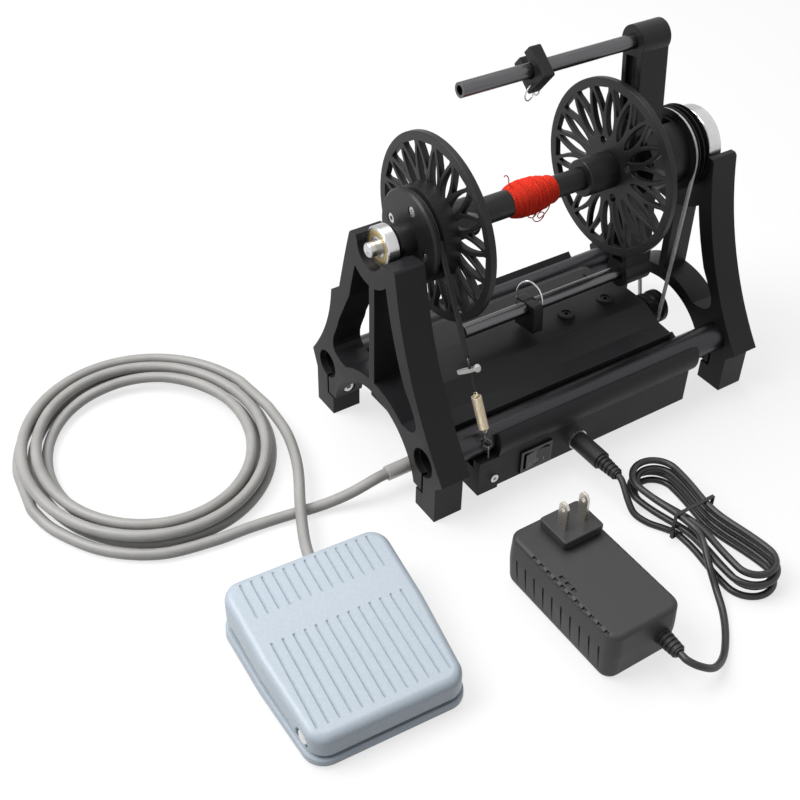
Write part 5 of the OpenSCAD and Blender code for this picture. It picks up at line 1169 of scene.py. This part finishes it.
def rocker_marks(half=0.24, tall=1.25, hollow=0.85, below=2.6):
    """The generic marks of a two-way rocker, printed on its lower half: two strokes, a ring, a stroke."""
    rocker = SOLIDS["rocker"]

    def printed(verts):
        """Drops points of (x, z) on to the rocker's face, a hair in front of it."""
        out = []
        for x, z in verts:
            hit, place, _, _ = rocker.ray_cast(((ROCKER[0] + x) * MM, -0.09, z * MM), (0, 1, 0))
            out.append([ROCKER[0] + x, (place[1] / MM if hit else -58.2) - 0.05, z])
        return np.array(out)

    z, parts = ROCKER[2] - below, []
    for x in (-5.6, -4.4, 4.8):
        bar = [(x - half, z - tall), (x + half, z - tall), (x + half, z + tall), (x - half, z + tall)]
        parts.append((printed(bar), [[0, 1, 2, 3]]))
    ring = np.vstack([circle(tall, 28, (0, z)), circle(hollow, 28, (0, z))])
    parts.append((printed(ring), grid_faces(2, 28, False).tolist()))
    piece("rocker_marks", *joined(parts), rocker["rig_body"], print_white, smooth=False)


left_shield()
spindle_dome()
rocker_marks()


# ---------------------------------------------------------------- left frame

def lowered_horn(start=130.0, tall=9.5):
    """A copy of the left frame whose front horn, above start, is a little lower, most on the inside."""
    src = SOLIDS["left_frame"]
    mesh = src.data.copy()
    mesh.name = "left_frame_shape"
    co = np.zeros(len(mesh.vertices) * 3)
    mesh.vertices.foreach_get("co", co)
    co = co.reshape(-1, 3)
    y, z = co[:, 1] / MM, co[:, 2] / MM
    drop = np.interp(y, [-20, -8], [2.2, 4.5]) / tall
    horn = (y < 0) & (z > start)
    co[:, 2] = np.where(horn, (start + (z - start) * (1 - drop)) * MM, co[:, 2])
    mesh.vertices.foreach_set("co", co.ravel())
    mesh.update()
    obj = bpy.data.objects.new("left_frame_shape", mesh)
    bpy.context.scene.collection.objects.link(obj)
    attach(obj, src["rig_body"])
    dress(obj, frame_black)
    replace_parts(obj, "left_frame")


lowered_horn()


# ---------------------------------------------------------------- adapter

HALF_X, HALF_Y, CORNER, TOP_Z = 22.0, 41.0, 7.0, 32.0
SLOTS, SLOT_STEP, SLOT_LEAN = 10, 7.0, 0.10
NOTCHES, NOTCH_STEP, NOTCH_X = 11, 5.4, 20.9
MARKS, MARK_STEP = 3, 4.6


def adapter_ring(inset, z):
    """The adapter's outline drawn in by inset, at a height."""
    return ring_at(rounded_rectangle(HALF_X - inset, HALF_Y - inset, CORNER - inset * 0.6, 9), z) + ADAPTER


def adapter_body(low=5.0, high=2.6):
    """A deep shell: rounded below, upright sides, a soft upper edge."""
    w = np.linspace(0, math.pi / 2, 7)
    rings = [adapter_ring(0.7 + low * 0.7 * (1 - math.sin(v)), low * (1 - math.cos(v))) for v in w]
    rings += [adapter_ring(0.0, 16.0), adapter_ring(0.0, 20.0)]
    rings += [adapter_ring(0.4 + high * (1 - math.cos(v)), TOP_Z - high + high * math.sin(v)) for v in w]
    return lofted(rings)


def adapter_cuts():
    """Slots down both sides, a row of small notches along both upper edges, and three on the top."""
    cuts = []
    for side in (-1, 1):
        for y in -33.0 + SLOT_STEP * np.arange(SLOTS):
            verts, faces = box_arrays((side * HALF_X - 0.75, y - 0.6, 4.5), (side * HALF_X + 0.75, y + 0.6, 20.5))
            verts[:, 1] += (verts[:, 2] - 12) * SLOT_LEAN
            cuts.append((verts, faces))
        for y in -34.0 + NOTCH_STEP * np.arange(NOTCHES):
            cuts.append(box_arrays((side * NOTCH_X - 1.25, y - 1.35, TOP_Z - 1.4),
                                   (side * NOTCH_X + 1.25, y + 1.35, TOP_Z + 2)))
    cuts += [box_arrays((-18.4, y - 1.2, TOP_Z - 1), (-16.2, y + 1.2, TOP_Z + 2))
             for y in 3.0 - MARK_STEP * np.arange(MARKS)]
    return [(verts + ADAPTER, faces) for verts, faces in cuts]


def plug_block(centre=(-77.5, -127.7, 0)):
    """The low block that carries the blades, with eased edges."""
    return lofted([ring_at(rounded_rectangle(12.6 - inset, 10.6 - inset, 2.2, 6), z) + centre for inset, z in (
        (0.8, 30.0), (0.8, 32.4), (0.0, 34.0), (0.0, 37.4), (0.3, 37.9), (0.8, 38.1))])


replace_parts(carved("adapter_shell", adapter_body(), "base", adapter_black, adapter_cuts()),
            "adapter_lower", "adapter_upper")
crisp(piece("adapter_plug_block", *plug_block(), "base", adapter_black))


# ---------------------------------------------------------------- studio

FLOOR_HALF, BEND_Y, BEND_R, WALL_TOP = 3.0, 1.6, 0.5, 2.6
PAPER, GLOW_SHARE, AIR_SHARE = (0.34, 0.34, 0.345, 1), 0.72, 0.22
LAMPS = [("window_lamp", (-0.95, 0.45, 1.3), (0, 0, 0.08), 23, 1.1, 0.9),
         ("top_lamp", (0.1, 0.6, 1.7), (0, 0, 0.05), 13, 1.2, 1.2)]


def shown(tree):
    """1 where the camera, a mirror or clear plastic looks, 0 where light is only scattered."""
    path = tree.nodes.new("ShaderNodeLightPath")
    total = path.outputs["Is Camera Ray"]
    for name in ("Is Glossy Ray", "Is Transmission Ray"):
        larger = tree.nodes.new("ShaderNodeMath")
        larger.operation = "MAXIMUM"
        tree.links.new(total, larger.inputs[0])
        tree.links.new(path.outputs[name], larger.inputs[1])
        total = larger.outputs[0]
    return total


def studio_floor():
    """A floor that curves up behind: white where it is looked at, grey where it lights the object."""
    bend = np.linspace(0, math.pi / 2, 24)
    y = np.concatenate([[-FLOOR_HALF], BEND_Y + BEND_R * np.sin(bend), [BEND_Y + BEND_R]])
    z = np.concatenate([[0.0], BEND_R - BEND_R * np.cos(bend), [WALL_TOP]])
    n = len(y)
    verts = np.vstack([np.column_stack([np.full(n, x), y, z]) for x in (-FLOOR_HALF, FLOOR_HALF)])
    mesh = bpy.data.meshes.new("studio_floor")
    mesh.from_pydata(verts.tolist(), [], [[k, k + 1, n + k + 1, n + k] for k in range(n - 1)])
    mesh.shade_smooth()
    floor = bpy.data.objects.new("studio_floor", mesh)
    bpy.context.scene.collection.objects.link(floor)
    paper = bpy.data.materials.new("studio_paper")
    paper.use_nodes = True
    tree = paper.node_tree
    shader = tree.nodes["Principled BSDF"]
    shader.inputs["Roughness"].default_value = 0.8
    shader.inputs["Specular IOR Level"].default_value = 0.0
    seen = shown(tree)
    pale = tree.nodes.new("ShaderNodeMix")
    pale.data_type = "RGBA"
    pale.inputs[6].default_value, pale.inputs[7].default_value = PAPER, (1.0, 1.0, 1.0, 1)
    tree.links.new(seen, pale.inputs[0])
    tree.links.new(pale.outputs[2], shader.inputs["Base Color"])
    glow = tree.nodes.new("ShaderNodeEmission")
    part = tree.nodes.new("ShaderNodeMath")
    part.operation = "MULTIPLY"
    part.inputs[1].default_value = GLOW_SHARE
    tree.links.new(seen, part.inputs[0])
    both = tree.nodes.new("ShaderNodeMixShader")
    tree.links.new(part.outputs[0], both.inputs[0])
    tree.links.new(shader.outputs[0], both.inputs[1])
    tree.links.new(glow.outputs[0], both.inputs[2])
    tree.links.new(both.outputs[0], tree.nodes["Material Output"].inputs["Surface"])
    floor.data.materials.append(paper)


def lamp(name, place, aim, power, width, height):
    """A soft rectangular lamp turned towards a point."""
    data = bpy.data.lights.new(name, "AREA")
    data.shape, data.size, data.size_y, data.energy = "RECTANGLE", width, height, power
    obj = bpy.data.objects.new(name, data)
    bpy.context.scene.collection.objects.link(obj)
    back = np.array(place, float) - np.array(aim, float)
    back /= np.linalg.norm(back)
    side = np.cross([0, 0, 1.0], back)
    side /= np.linalg.norm(side)
    obj.matrix_world = placed([side, np.cross(back, side), back], place)


def white_air():
    """A world that is white where it is seen and dim where it lights the object."""
    world = bpy.data.worlds.new("white_studio")
    bpy.context.scene.world = world
    world.use_nodes = True
    tree = world.node_tree
    air = tree.nodes["Background"]
    air.inputs["Color"].default_value = (1.0, 1.0, 1.0, 1)
    level = tree.nodes.new("ShaderNodeMapRange")
    level.inputs["To Min"].default_value, level.inputs["To Max"].default_value = AIR_SHARE, 1.0
    tree.links.new(shown(tree), level.inputs["Value"])
    tree.links.new(level.outputs[0], air.inputs["Strength"])


studio_floor()
for row in LAMPS:
    lamp(*row)
white_air()
bpy.context.scene.view_settings.view_transform = "Standard"
